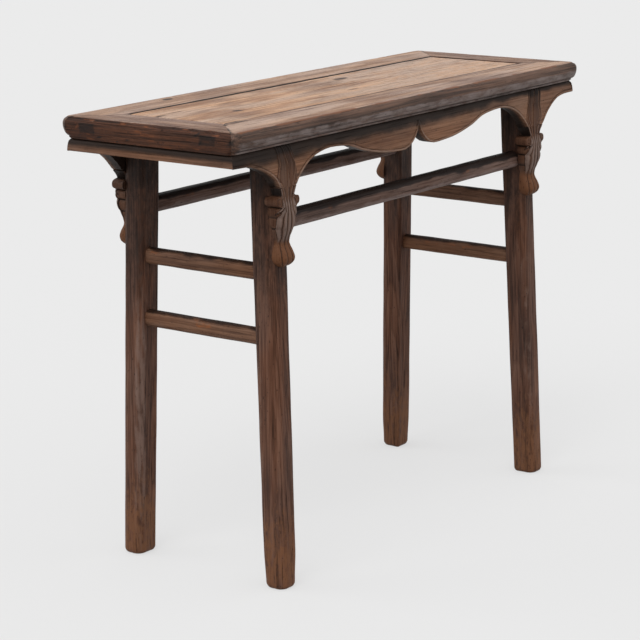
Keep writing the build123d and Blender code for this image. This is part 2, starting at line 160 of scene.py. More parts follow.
# ---------------------------------------------------------------------------------------------
# Node groups and finishes
# ---------------------------------------------------------------------------------------------


class Graph:
    """Thin wrapper that adds and links nodes in one node tree."""

    def __init__(self, tree: bpy.types.NodeTree) -> None:
        """Keep the tree that nodes go into."""
        self.tree = tree

    def add(
        self, kind: str, inputs: dict[str | int, Feed] | None = None, **settings: object
    ) -> bpy.types.Node:
        """Add a node.

        Args:
            kind: Node type without the ShaderNode prefix.
            inputs: Socket name or number to a value or to another node's output socket.
            **settings: Node properties to set.

        Returns:
            The new node.
        """
        node = self.tree.nodes.new("ShaderNode" + kind)
        for name, value in settings.items():
            setattr(node, name, value)
        for name, value in (inputs or {}).items():
            self.feed(node.inputs[name], value)
        return node

    def feed(self, socket: bpy.types.NodeSocket, value: Feed) -> None:
        """Set a socket's value, or link an output socket to it.

        Args:
            socket: Input socket.
            value: Number, row of numbers or output socket.
        """
        if isinstance(value, bpy.types.NodeSocket):
            self.tree.links.new(value, socket)
        else:
            socket.default_value = value

    def math(self, operation: str, *values: Feed) -> bpy.types.NodeSocket:
        """Add a math node on numbers or sockets.

        Args:
            operation: Name of the operation.
            *values: What goes in, in order.

        Returns:
            The result's socket.
        """
        node = self.add("Math", operation=operation)
        for socket, value in zip(node.inputs, values):
            self.feed(socket, value)
        return node.outputs[0]

    def blend(self, share: Feed, low: Feed, high: Feed, mode: str = "MIX") -> bpy.types.NodeSocket:
        """Add a colour mix node.

        Args:
            share: How much of the high colour.
            low: Colour at 0.
            high: Colour at 1.
            mode: Name of the blend mode.

        Returns:
            The mixed colour's socket.
        """
        node = self.add("Mix", data_type="RGBA", blend_type=mode)
        for index, value in ((0, share), (6, low), (7, high)):
            self.feed(node.inputs[index], value)
        return node.outputs[2]

    def step(self, value: Feed, low: float, high: float) -> bpy.types.NodeSocket:
        """Add a smooth step.

        Args:
            value: What is stepped.
            low: Value that gives 0.
            high: Value that gives 1.

        Returns:
            The step's socket.
        """
        node = self.add("MapRange", interpolation_type="SMOOTHSTEP")
        for name, setting in (("Value", value), ("From Min", low), ("From Max", high)):
            self.feed(node.inputs[name], setting)
        return node.outputs[0]

    def stretched(
        self, vector: Feed, scale: Point, detail: float = 2.0, roughness: float = 0.5
    ) -> bpy.types.NodeSocket:
        """Add noise whose coordinates are scaled apart along each axis.

        Args:
            vector: Coordinates in metres.
            scale: Scale along each axis.
            detail: Number of finer layers.
            roughness: Share of each finer layer.

        Returns:
            The noise's socket.
        """
        mapped = self.add("Mapping", {"Vector": vector, "Scale": scale})
        texture = self.add(
            "TexNoise",
            {"Vector": mapped.outputs[0], "Scale": 1.0, "Detail": detail, "Roughness": roughness},
        )
        return texture.outputs[0]


def new_group(
    name: str, inputs: dict[str, float], outputs: Sequence[str]
) -> tuple[bpy.types.NodeTree, Graph, Sockets, Sockets]:
    """Start a shader node group that takes a vector and numbers and gives out numbers.

    Args:
        name: Name of the group.
        inputs: Name of each number that goes in, to its default.
        outputs: Names of the numbers that come out.

    Returns:
        The group, its graph, its input node's sockets and its output node's sockets.
    """
    group = bpy.data.node_groups.new(name, "ShaderNodeTree")
    group.interface.new_socket("Vector", in_out="INPUT", socket_type="NodeSocketVector")
    for socket_name, default in inputs.items():
        socket = group.interface.new_socket(socket_name, in_out="INPUT", socket_type="NodeSocketFloat")
        socket.default_value = default
    for socket_name in outputs:
        group.interface.new_socket(socket_name, in_out="OUTPUT", socket_type="NodeSocketFloat")
    entry = group.nodes.new("NodeGroupInput")
    leave = group.nodes.new("NodeGroupOutput")
    return group, Graph(group), entry.outputs, leave.inputs


def build_elm_grain() -> bpy.types.NodeTree:
    """Build the figure of sawn elm: growth rings, streaks and open pores.

    Returns:
        The group, whose vector's X runs along the grain, in metres.
    """
    group, graph, given, made = new_group(
        "elm_grain",
        {"Seed": 0.0, "Ring Width": 0.006, "Heart Depth": 0.09, "Heart Tilt": 0.0, "Figure": 0.02},
        ("Tone", "Pores", "Height"),
    )
    shift = graph.add("CombineXYZ", {0: given["Seed"], 1: given["Seed"], 2: given["Seed"]})
    offset = graph.add("VectorMath", {0: given["Vector"], 1: shift.outputs[0]}, operation="ADD")
    place = offset.outputs[0]
    sway = graph.math("SUBTRACT", graph.stretched(place, (3.2, 12.0, 12.0), 3.0), 0.5)
    swell = graph.math("SUBTRACT", graph.stretched(place, (2.1, 5.0, 5.0), 2.0), 0.5)
    axes = graph.add("SeparateXYZ", {0: given["Vector"]})
    across = graph.math("ADD", axes.outputs[1], graph.math("MULTIPLY", sway, given["Figure"]))
    through = graph.math("ADD", axes.outputs[2], given["Heart Depth"])
    through = graph.math("ADD", through, graph.math("MULTIPLY", axes.outputs[0], given["Heart Tilt"]))
    through = graph.math("ADD", through, graph.math("MULTIPLY", swell, given["Figure"]))
    squares = graph.math("MULTIPLY", through, through)
    squares = graph.math("ADD", graph.math("MULTIPLY", across, across), squares)
    rings = graph.math("FRACT", graph.math("DIVIDE", graph.math("SQRT", squares), given["Ring Width"]))
    ring_tone = graph.math("MULTIPLY", graph.math("POWER", rings, 1.5), graph.step(rings, 1.0, 0.86))
    fine = graph.step(graph.stretched(place, (7.0, 400.0, 400.0), 2.0, 0.6), 0.36, 0.64)
    streaks = graph.step(graph.stretched(place, (3.5, 140.0, 140.0), 2.0, 0.55), 0.36, 0.64)
    bands = graph.step(graph.stretched(place, (2.4, 36.0, 36.0), 3.0, 0.6), 0.34, 0.66)
    tone = graph.math("MULTIPLY", ring_tone, 0.30)
    for layer, share in ((fine, 0.26), (streaks, 0.26), (bands, 0.22)):
        tone = graph.math("ADD", tone, graph.math("MULTIPLY", layer, share))
    dashes = graph.step(graph.stretched(place, (13.0, 520.0, 520.0), 2.0, 0.6), 0.53, 0.66)
    checks = graph.step(graph.stretched(place, (5.0, 230.0, 230.0), 2.0, 0.5), 0.61, 0.68)
    early = graph.step(rings, 0.60, 0.05)
    pores = graph.math("MULTIPLY", dashes, graph.math("ADD", graph.math("MULTIPLY", early, 0.65), 0.35))
    pores = graph.math("MAXIMUM", pores, graph.math("MULTIPLY", checks, 0.9))
    height = graph.math("SUBTRACT", graph.math("MULTIPLY", tone, 0.5), pores)
    graph.feed(made["Tone"], tone)
    graph.feed(made["Pores"], pores)
    graph.feed(made["Height"], height)
    return group


def build_patina() -> bpy.types.NodeTree:
    """Build the marks of age and of painted light: broad stains, warm and grey patches, pits, and ragged
    masks that also carry painted shade and painted sheen.

    Returns:
        The group.
    """
    group, graph, given, made = new_group(
        "patina",
        {"Seed": 0.0, "Wear": 0.0, "Soil": 0.0, "Bare": 0.0, "Ragged": 1.0},
        ("Stain", "Hue", "Pits", "Worn_And_Sheen", "Soiled_And_Shaded", "Bared"),
    )
    shift = graph.add("CombineXYZ", {0: given["Seed"], 1: given["Seed"], 2: given["Seed"]})
    offset = graph.add("VectorMath", {0: given["Vector"], 1: shift.outputs[0]}, operation="ADD")
    place = offset.outputs[0]
    stain = graph.step(graph.stretched(place, (6.0, 16.0, 16.0), 4.0, 0.6), 0.42, 0.66)
    hue = graph.step(graph.stretched(place, (5.0, 24.0, 24.0), 3.0, 0.5), 0.36, 0.64)
    pits = graph.step(graph.stretched(place, (150.0, 330.0, 330.0), 1.0), 0.68, 0.76)
    ragged = graph.math("SUBTRACT", graph.stretched(place, (50.0, 120.0, 120.0), 4.0, 0.7), 0.5)
    ragged = graph.math("MULTIPLY", ragged, given["Ragged"])
    for name, source, spread, low, high in (
        ("Worn_And_Sheen", "Wear", 0.9, 0.22, 0.78),
        ("Soiled_And_Shaded", "Soil", 0.7, 0.18, 0.82),
        ("Bared", "Bare", 1.2, 0.32, 0.68),
    ):
        mask = graph.math("ADD", given[source], graph.math("MULTIPLY", ragged, spread))
        there = graph.step(given[source], 0.0, 0.12)
        graph.feed(made[name], graph.math("MULTIPLY", graph.step(mask, low, high), there))
    graph.feed(made["Stain"], stain)
    graph.feed(made["Hue"], hue)
    graph.feed(made["Pits"], pits)
    return group


class Grain(Enum):
    """Direction of a board's grain, as the turn that lays it along X."""

    ALONG_X = (0.0, 0.0, 0.0)
    ALONG_Y = (0.0, 0.0, math.pi / 2)
    UPRIGHT = (0.0, math.pi / 2, 0.0)


@dataclass(frozen=True)
class ElmFinish:
    """Finish of one kind of elm piece.

    The colours are display steps: dark, middle and light wood, warm and cool patches, worn
    ridges and painted sheen, newly bared wood, and dark marks and painted shade. A piece with
    dark edges has a colour for its sides too.
    """

    name: str
    slot: str
    dark: Colour
    middle: Colour
    light: Colour
    warm: Colour
    cool: Colour
    # The worn colour also paints the sheen on the boards and the aprons.
    worn: Colour
    bared: Colour = (150, 88, 48)
    soil: Colour = (20, 14, 12)
    side: Colour | None = None
    ring_width: float = 0.008
    figure: float = 0.035
    heart_depth: float = 0.10
    heart_tilt: float = 0.0
    roughness: float = 0.55
    relief: float = 0.45
    pore_strength: float = 0.6
    stain_strength: float = 0.4
    hue_strength: float = 0.35
    specular: float = 0.18
    ragged: float = 1.0

    def material(
        self, groups: dict[str, bpy.types.NodeTree], grain: Grain, seed: int, centre: Vector
    ) -> bpy.types.Material:
        """Build the finish as a material for one piece.

        Args:
            groups: Shared node groups by name.
            grain: Direction of the piece's grain.
            seed: Number that sets this piece's figure apart.
            centre: Middle of the board that the figure is laid out round.

        Returns:
            The material.
        """
        material = bpy.data.materials.new(f"{self.name}_{seed}")
        material.use_nodes = True
        material.node_tree.nodes.clear()
        graph = Graph(material.node_tree)
        place = graph.add("TexCoord").outputs["Object"]
        centred = graph.add("Mapping", {"Vector": place, "Location": -centre}).outputs[0]
        turned = graph.add("Mapping", {"Vector": centred, "Rotation": grain.value}).outputs[0]
        figure = graph.add("Group", node_tree=groups["elm_grain"])
        patina = graph.add("Group", node_tree=groups["patina"])
        for node in (figure, patina):
            graph.feed(node.inputs["Vector"], turned)
            graph.feed(node.inputs["Seed"], 1.37 * seed)
        graph.feed(figure.inputs["Ring Width"], self.ring_width)
        graph.feed(figure.inputs["Heart Depth"], self.heart_depth)
        graph.feed(figure.inputs["Heart Tilt"], self.heart_tilt)
        graph.feed(figure.inputs["Figure"], self.figure)
        graph.feed(patina.inputs["Ragged"], self.ragged)
        for name in ("Wear", "Soil", "Bare"):
            painted = graph.add("Attribute", attribute_name=name.lower())
            graph.feed(patina.inputs[name], painted.outputs["Fac"])
        marks = patina.outputs
        ramp = graph.add("ValToRGB", {"Fac": figure.outputs["Tone"]})
        stops = ramp.color_ramp.elements
        stops[0].position, stops[0].color = 0.16, srgb(*self.dark)
        stops[1].position, stops[1].color = 0.80, srgb(*self.light)
        stops.new(0.47).color = srgb(*self.middle)
        patches = graph.blend(marks["Hue"], srgb(*self.cool), srgb(*self.warm))
        colour = graph.blend(self.hue_strength, ramp.outputs[0], patches)
        if self.side is not None:
            normal = graph.add("NewGeometry").outputs["Normal"]
            upward = graph.add("SeparateXYZ", {0: normal}).outputs[2]
            ragged = graph.math("SUBTRACT", graph.stretched(turned, (30.0, 60.0, 60.0), 4.0, 0.7), 0.5)
            tilt = graph.math("ADD", upward, graph.math("MULTIPLY", ragged, 0.08))
            gain = graph.math("ADD", graph.math("MULTIPLY", figure.outputs["Tone"], 1.9), 0.18)
            tinted = graph.blend(1.0, srgb(*self.side), gain, "MULTIPLY")
            colour = graph.blend(graph.step(tilt, 0.93, 0.982), tinted, colour)
        stain = graph.math("MULTIPLY", marks["Stain"], self.stain_strength)
        colour = graph.blend(stain, colour, srgb(160, 138, 126), "MULTIPLY")
        # The worn colour also paints sheen where the mask carries it.
        colour = graph.blend(graph.math("MULTIPLY", marks["Worn_And_Sheen"], 0.9), colour, srgb(*self.worn))
        colour = graph.blend(graph.math("MULTIPLY", marks["Bared"], 0.85), colour, srgb(*self.bared))
        pores = graph.math("MULTIPLY", figure.outputs["Pores"], self.pore_strength)
        colour = graph.blend(pores, colour, srgb(*self.soil))
        colour = graph.blend(graph.math("MULTIPLY", marks["Pits"], 0.6), colour, srgb(*self.soil))
        # The dark colour also paints shade where the mask carries it.
        colour = graph.blend(graph.math("MULTIPLY", marks["Soiled_And_Shaded"], 0.93), colour, srgb(*self.soil))
        dull = graph.math("MULTIPLY", figure.outputs["Pores"], 0.25)
        roughness = graph.math("ADD", dull, self.roughness)
        lift = graph.math("SUBTRACT", figure.outputs["Height"], graph.math("MULTIPLY", marks["Pits"], 0.8))
        relief = graph.add("Bump", {"Height": lift, "Strength": self.relief, "Distance": 0.0012})
        surface = {"Base Color": colour, "Roughness": roughness, "Normal": relief.outputs[0]}
        shader = graph.add("BsdfPrincipled", {**surface, "Specular IOR Level": self.specular})
        out = graph.add("OutputMaterial")
        graph.feed(out.inputs["Surface"], shader.outputs[0])
        return material


PANEL = ElmFinish(
    "panel_elm", "panel_wood",
    dark=(146, 108, 82), middle=(194, 155, 126), light=(216, 182, 152), warm=(204, 152, 110),
    cool=(190, 166, 150), worn=(204, 182, 166), soil=(46, 34, 30), specular=0.35, hue_strength=0.45,
    heart_depth=0.045, heart_tilt=0.035, ring_width=0.009, stain_strength=0.6, pore_strength=0.55,
)
LONG_RAIL = ElmFinish(
    "long_rail_elm", "top_wood",
    dark=(122, 90, 72), middle=(178, 146, 125), light=(204, 174, 152), warm=(184, 139, 104),
    cool=(176, 154, 144), worn=(136, 123, 119), bared=(122, 75, 47), side=(92, 68, 55), soil=(24, 17, 14),
    specular=0.35, heart_depth=0.08, heart_tilt=0.02, pore_strength=0.5, stain_strength=0.5,
)
END_RAIL = ElmFinish(
    "end_rail_elm", "top_wood",
    dark=(100, 73, 60), middle=(159, 128, 110), light=(187, 158, 139), warm=(156, 118, 92),
    cool=(153, 131, 122), worn=(142, 116, 98), bared=(120, 70, 42), side=(78, 47, 31), soil=(20, 14, 12),
    specular=0.20, heart_depth=0.08, pore_strength=0.5, relief=0.9, stain_strength=0.55,
)
APRON = ElmFinish(
    "apron_elm", "apron_wood",
    dark=(96, 65, 47), middle=(136, 100, 78), light=(158, 122, 97), warm=(146, 99, 68),
    cool=(126, 100, 86), worn=(146, 124, 110), soil=(20, 13, 10), heart_depth=0.30,
    pore_strength=0.4, relief=0.25, ragged=0.4,
)
CARVED = ElmFinish(
    "carved_elm", "spandrel_wood",
    dark=(74, 48, 35), middle=(96, 67, 51), light=(112, 83, 66), warm=(106, 68, 46),
    cool=(92, 72, 63), worn=(130, 111, 102), bared=(112, 72, 46), soil=(16, 9, 6),
    heart_depth=0.30, ring_width=0.011, stain_strength=0.3, pore_strength=0.25, relief=0.3, ragged=0.25,
)
LEG = ElmFinish(
    "leg_elm", "leg_wood",
    dark=(46, 27, 18), middle=(92, 61, 47), light=(130, 96, 79), warm=(116, 74, 51),
    cool=(94, 72, 63), worn=(126, 102, 91), bared=(122, 82, 56), soil=(18, 11, 8), heart_depth=0.014,
    heart_tilt=0.018, ring_width=0.0052, figure=0.012, pore_strength=0.55, stain_strength=0.3,
)
LONG_STRETCHER = ElmFinish(
    "long_stretcher_elm", "stretcher_wood",
    dark=(56, 37, 30), middle=(96, 73, 63), light=(128, 104, 94), warm=(108, 76, 60),
    cool=(104, 88, 82), worn=(132, 114, 108), soil=(22, 12, 9), heart_depth=0.02, pore_strength=0.55,
)
SIDE_STRETCHER = ElmFinish(
    "side_stretcher_elm", "stretcher_wood",
    dark=(72, 46, 32), middle=(116, 81, 60), light=(142, 106, 82), warm=(136, 92, 62),
    cool=(110, 84, 70), worn=(140, 112, 94), soil=(28, 16, 11), heart_depth=0.02, pore_strength=0.45,
)
BATTEN = ElmFinish(
    "batten_elm", "batten_wood",
    dark=(70, 50, 38), middle=(104, 78, 62), light=(128, 100, 82), warm=(116, 84, 62),
    cool=(100, 82, 72), worn=(120, 92, 74),
)


# ---------------------------------------------------------------------------------------------
# Modelling
# ---------------------------------------------------------------------------------------------


@dataclass(frozen=True)
class Spot:
    """A point of a piece's surface, with worn wood and painted sheen, dark marks and painted shade, and bare
    wood painted there from 0 to 1.
    """

    place: Vector
    wear: float = 0.0
    soil: float = 0.0
    bare: float = 0.0


MASKS = ("wear", "soil", "bare")


def edit_all(*operators: Callable[[], object]) -> None:
    """Run operators in edit mode on everything in the active piece.

    Args:
        *operators: Calls to make, in order.
    """
    bpy.ops.object.mode_set(mode="EDIT")
    bpy.ops.mesh.select_all(action="SELECT")
    for operator in operators:
        operator()
    bpy.ops.object.mode_set(mode="OBJECT")


def face_outwards() -> None:
    """Point all the active piece's faces outwards."""
    bpy.ops.mesh.normals_make_consistent(inside=False)


def select_edges(piece: bpy.types.Object, wanted: Callable[[Vector, Vector], bool]) -> None:
    """In edit mode, select only the edges that pass a test.

    Args:
        piece: Piece in edit mode.
        wanted: Test of an edge's two ends.
    """
    bpy.ops.mesh.select_mode(type="EDGE")
    bpy.ops.mesh.select_all(action="DESELECT")
    shape = bmesh.from_edit_mesh(piece.data)
    for edge in shape.edges:
        if wanted(edge.verts[0].co, edge.verts[1].co):
            edge.select_set(True)
    bmesh.update_edit_mesh(piece.data)


def paint(piece: bpy.types.Object, brush: Callable[[Vector], dict[str, float]]) -> None:
    """Paint a piece's masks, point by point.

    Args:
        piece: Piece at the origin.
        brush: Gives the share of each mask at a place; a mask that it leaves out is 0 there.
    """
    for mask in MASKS:
        piece.data.attributes.new(mask, "FLOAT", "POINT")
    for index, vertex in enumerate(piece.data.vertices):
        for mask, share in brush(vertex.co).items():
            piece.data.attributes[mask].data[index].value = share


@dataclass
class Loft:
    """A closed piece drawn through rings of equal point counts."""

    name: str
    rings: list[list[Spot]]
    smooth_angle: float = math.radians(40)
    weld: float = 0.02 * MM

    def build(self) -> bpy.types.Object:
        """Model the piece from a cylinder, with one row of faces for each pair of rings.

        Returns:
            The piece, with its masks painted.
        """
        around, rows = len(self.rings[0]), len(self.rings) - 1
        bpy.ops.object.select_all(action="DESELECT")
        bpy.ops.mesh.primitive_cylinder_add(vertices=around, radius=1.0, depth=1.0, end_fill_type="NGON")
        piece = bpy.context.object
        piece.name = piece.data.name = self.name
        bpy.ops.object.mode_set(mode="EDIT")
        select_edges(piece, lambda one, other: abs(one.z - other.z) > 0.5)
        bpy.ops.mesh.subdivide(number_cuts=rows - 1)
        bpy.ops.object.mode_set(mode="OBJECT")
        turn = around / math.tau
        spots = []
        for vertex in piece.data.vertices:
            row = round((vertex.co.z + 0.5) * rows)
            spots.append(self.rings[row][round(math.atan2(vertex.co.y, vertex.co.x) * turn) % around])
        for vertex, spot in zip(piece.data.vertices, spots):
            vertex.co = spot.place
        for mask in MASKS:
            attribute = piece.data.attributes.new(mask, "FLOAT", "POINT")
            for item, spot in zip(attribute.data, spots):
                item.value = getattr(spot, mask)
        edit_all(lambda: bpy.ops.mesh.remove_doubles(threshold=self.weld), face_outwards)
        bpy.ops.object.shade_smooth_by_angle(angle=self.smooth_angle)
        return piece


def mirrored_copy(piece: bpy.types.Object, name: str, flip_x: bool, flip_y: bool) -> bpy.types.Object:
    """Copy a piece with its own mesh, mirrored through the table's middle.

    Args:
        piece: Finished piece at the origin.
        name: Name of the copy.
        flip_x: Mirror left to right.
        flip_y: Mirror front to back.

    Returns:
        The copy, with its faces pointing outwards.
    """
    bpy.ops.object.select_all(action="DESELECT")
    piece.select_set(True)
    bpy.context.view_layer.objects.active = piece
    bpy.ops.object.duplicate(linked=False)
    copy = bpy.context.object
    copy.name = copy.data.name = name
    copy.data.materials.clear()
    copy.data.transform(Matrix.Diagonal((-1 if flip_x else 1, -1 if flip_y else 1, 1, 1)))
    edit_all(face_outwards)
    return copy


@dataclass
class Workshop:
    """Shared groups, and the hand that dresses each piece and puts it on its body."""

    groups: dict[str, bpy.types.NodeTree]
    made: int = 0

    def dress(
        self,
        piece: bpy.types.Object,
        finish: ElmFinish,
        grain: Grain,
        *nodes: str,
        seed: int | None = None,
        centre: Vector | None = None,
    ) -> None:
        """Give a piece its material and let it stand for its nodes.

        Args:
            piece: Finished piece.
            finish: Finish of its wood.
            grain: Direction of its grain.
            *nodes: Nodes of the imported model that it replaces.
            seed: Number of its figure, where it shares one with another piece.
            centre: Middle of its figure, where that isn't the middle of its first node.
        """
        self.made += 1
        middle = centre or sum(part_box(nodes[0]), Vector()) / 2
        piece.data.materials.clear()
        piece.data.materials.append(finish.material(self.groups, grain, seed or self.made, middle))
        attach(piece, BODY)
        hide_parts(*nodes)
        log.info("%s: %d faces, stands for %s", piece.name, len(piece.data.polygons), ", ".join(nodes))

    def dress_node(self, node: str, finish: ElmFinish, grain: Grain) -> None:
        """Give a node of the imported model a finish, and leave its shape as it is.

        Args:
            node: Name of the node.
            finish: Finish of its wood.
            grain: Direction of its grain.
        """
        self.made += 1
        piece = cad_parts[node]
        piece.data.materials.clear()
        middle = sum(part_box(node), Vector()) / 2
        piece.data.materials.append(finish.material(self.groups, grain, self.made, middle))
        log.info("%s: packed shape kept", node)


# ---------------------------------------------------------------------------------------------
# Top
# ---------------------------------------------------------------------------------------------


@dataclass(frozen=True)
class Knot:
    """A dark knot or check in the top's face, longer along the grain."""

    x: float
    y: float
    length: float
    width: float
    depth: float = 0.9

    def shade(self, x: float, y: float) -> float:
        """Darken a place by the knot.

        Args:
            x: Place along the table.
            y: Place across it.

        Returns:
            Darkness from 0 to 1.
        """
        ragged = 1 + 0.35 * rough(x, y, 0.7, 5 * MM)
        reach = math.hypot((x - self.x) / self.length, (y - self.y) / self.width) * ragged
        return self.depth * smooth(1.3, 0.3, reach)


@dataclass
class Top:
    """Mitred frame with its moulded edge, and the two boards of the panel."""

    bullnose: float = 13.5 * MM
    undercut: float = 11.5 * MM
    foot_inset: float = 15.5 * MM
    end_undercut: float = 2.2 * MM
    end_foot_inset: float = 4.5 * MM
    end_quirk_depth: float = 0.3 * MM
    quirk_height: float = 5.5 * MM
    quirk_depth: float = 2.5 * MM
    corner_radius: float = 17.0 * MM
    sight_shift: float = 4.0 * MM
    corner_rows: int = 9
    station: float = 2.6 * MM
    gap: float = 1.5 * MM
    arris: float = 1.3 * MM
    chip: float = 2.0 * MM
    face_steps: int = 34
    board_thickness: float = 6.0 * MM
    board_joint: float = 4.4 * MM
    board_steps: int = 44
    board_rows: int = 340
    # Strength of the painted sheen that makes the boards paler towards the right.
    board_sheen: float = 0.42
    end_chips: tuple[float, ...] = (0.125, -0.058, -0.120)
    front_cracks: tuple[tuple[float, float], ...] = ((0.305, 0.827), (0.013, 0.833))
    tenon_y: tuple[float, float] = (122 * MM, 156 * MM)
    tenon_z: tuple[float, float] = (824 * MM, 840 * MM)
    knots: tuple[Knot, ...] = (
        Knot(-0.300, 0.172, 0.016, 0.011, 0.95),
        Knot(-0.342, -0.029, 0.014, 0.011, 0.85),
        Knot(0.100, 0.068, 0.026, 0.010, 0.9),
        Knot(0.137, 0.110, 0.030, 0.008, 0.6),
        Knot(-0.006, -0.042, 0.022, 0.008, 0.6),
        Knot(-0.467, 0.047, 0.018, 0.005, 0.9),
        Knot(-0.412, 0.054, 0.030, 0.006, 0.55),
        Knot(-0.283, 0.047, 0.034, 0.009, 0.44),
        Knot(-0.246, 0.093, 0.036, 0.008, 0.42),
        Knot(0.254, 0.100, 0.026, 0.007, 0.42),
        Knot(-0.103, -0.041, 0.045, 0.004, 0.5),
        Knot(-0.052, 0.012, 0.055, 0.004, 0.44),
        Knot(-0.458, -0.109, 0.030, 0.005, 0.9),
        Knot(-0.450, -0.119, 0.042, 0.003, 0.95),
        Knot(-0.492, -0.124, 0.008, 0.005, 0.95),
        Knot(-0.395, -0.094, 0.030, 0.002, 0.7),
        Knot(0.300, -0.030, 0.035, 0.002, 0.45),
        Knot(0.215, 0.020, 0.050, 0.002, 0.4),
    )

    def __post_init__(self) -> None:
        """Read the top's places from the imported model."""
        low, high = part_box("top_rail_front")
        self.half_length, self.half_depth = high.x, -low.y
        self.height, self.underside = high.z, low.z
        self.sight_y = -high.y - self.sight_shift
        self.sight_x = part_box("top_end_rail_right")[0].x
        self.panel_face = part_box("panel_board_front")[1].z

    def edge_section(self, undercut: float, foot_inset: float, quirk_depth: float) -> list[Pair]:
        """Section of the edge as (inset from the widest line, height), from face to underside.

        Args:
            undercut: How far the flank runs back above the small bead at the foot.
            foot_inset: How far the bead's foot lies back.
            quirk_depth: Depth of the quirk over the bead.

        Returns:
            The section's points; their heights are the same whatever the insets.
        """
        top, radius = self.height, self.bullnose
        points = [
            (radius * (1 - math.sin(angle)), top - radius * (1 - math.cos(angle)))
            for angle in (math.radians(step) for step in range(0, 91, 9))
        ]
        widest, quirk = top - radius, self.underside + self.quirk_height
        for step in range(1, 7):
            turn = step / 6 * math.pi / 2
            points.append((undercut * (1 - math.cos(turn)) ** 0.9, mix(widest, quirk, math.sin(turn))))
        deepest = (undercut + quirk_depth, quirk - 0.5 * MM)
        points += [(undercut + quirk_depth * 0.6, quirk - 0.2 * MM), deepest]
        for step in range(1, 6):
            share = step / 6
            bulge = 0.64 * quirk_depth * math.sin(share * math.pi)
            inset = mix(deepest[0], foot_inset, share) - bulge
            points.append((inset, mix(deepest[1], self.underside, share)))
        points.append((foot_inset, self.underside))
        return points

    def corner_path(
        self, inset: float, other: float, along: float, cross: float, lean: float
    ) -> list[tuple[Pair, Pair]]:
        """Half of a line along a rail, from the mitre to the middle of the rail.

        Args:
            inset: Distance of the line in from the rail's outer face.
            other: Distance in from the neighbouring rail's outer face.
            along: Half of the top's size along the rail.
            cross: Half of the top's size across the rail.
            lean: Place along the rail minus place across it, on the mitre.

        Returns:
            Pairs of (place, outward direction), both as (along, across), of the corner's rows.
        """
        radius = max(self.corner_radius - min(inset, other), 0.05 * MM)
        heart = (along - other - radius, cross - inset - radius)
        arc = [math.radians(90 * step / (self.corner_rows - 1)) for step in range(self.corner_rows)]
        offset = (lean - heart[0] + heart[1]) / (radius * math.sqrt(2))
        if offset <= -math.sqrt(0.5):
            start = (lean + cross - inset, cross - inset)
            return [(start, (0.0, 1.0))] * (self.corner_rows + 1)
        if offset >= math.sqrt(0.5):
            path = [((along - other, along - other - lean), (1.0, 0.0))]
            angles = arc
        else:
            start = math.acos(offset) - math.pi / 4
            rows = self.corner_rows
            angles = [mix(start, math.pi / 2, step / rows) for step in range(rows + 1)]
            path = []
        for angle in angles:
            c, s = math.cos(angle), math.sin(angle)
            path.append(((heart[0] + radius * c, heart[1] + radius * s), (c, s)))
        return path

    def rail(self, name: str, along_x: bool) -> bpy.types.Object:
        """Build the front rail, or the left end rail.

        Args:
            name: Name of the piece.
            along_x: Whether it is the front rail.

        Returns:
            The rail, mitred at both ends.
        """
        along, cross = self.half_length, self.half_depth
        width, other_width = self.half_depth - self.sight_y, self.half_length - self.sight_x
        own = self.edge_section(self.undercut, self.foot_inset, self.quirk_depth)
        other = self.edge_section(self.end_undercut, self.end_foot_inset, self.end_quirk_depth)
        if not along_x:
            along, cross = cross, along
            width, other_width = other_width, width
            own, other = other, own
        lean = (along - other_width) - (cross - width)
        slit = self.gap / 2
        deep, other_deep = width - slit, other_width - slit
        outline = [(deep, other_deep, self.underside), (deep, other_deep, self.height - self.arris)]
        for back, drop in ((0.3 * self.arris, 0.3 * self.arris), (self.arris, 0.0)):
            outline.append((deep - back, other_deep - back, self.height - drop))
        for step in range(1, self.face_steps):
            share = (1 - step / self.face_steps) ** 1.15
            outline.append((
                mix(self.bullnose, deep - self.arris, share),
                mix(self.bullnose, other_deep - self.arris, share),
                self.height,
            ))
        outline += [(inset, over, height) for (inset, height), (over, _) in zip(own, other)]
        outline.append((mix(own[-1][0], deep, 0.5), mix(other[-1][0], other_deep, 0.5), self.underside))
        columns = []
        for inset, over, height in outline:
            half = self.corner_path(inset, over, along, cross, lean)
            rows = int(2 * along / self.station)
            reach, level = half[-1][0]
            path = half + [((mix(reach, -reach, row / rows), level), (0.0, 1.0)) for row in range(1, rows)]
            path += [((-p, q), (-a, b)) for (p, q), (a, b) in reversed(half)]
            near = min(inset, over)
            columns.append([self.weather(p, q, a, b, height, near, along_x) for (p, q), (a, b) in path])
        rings = [list(ring) for ring in zip(*columns)]
        return Loft(name, rings, math.radians(45)).build()

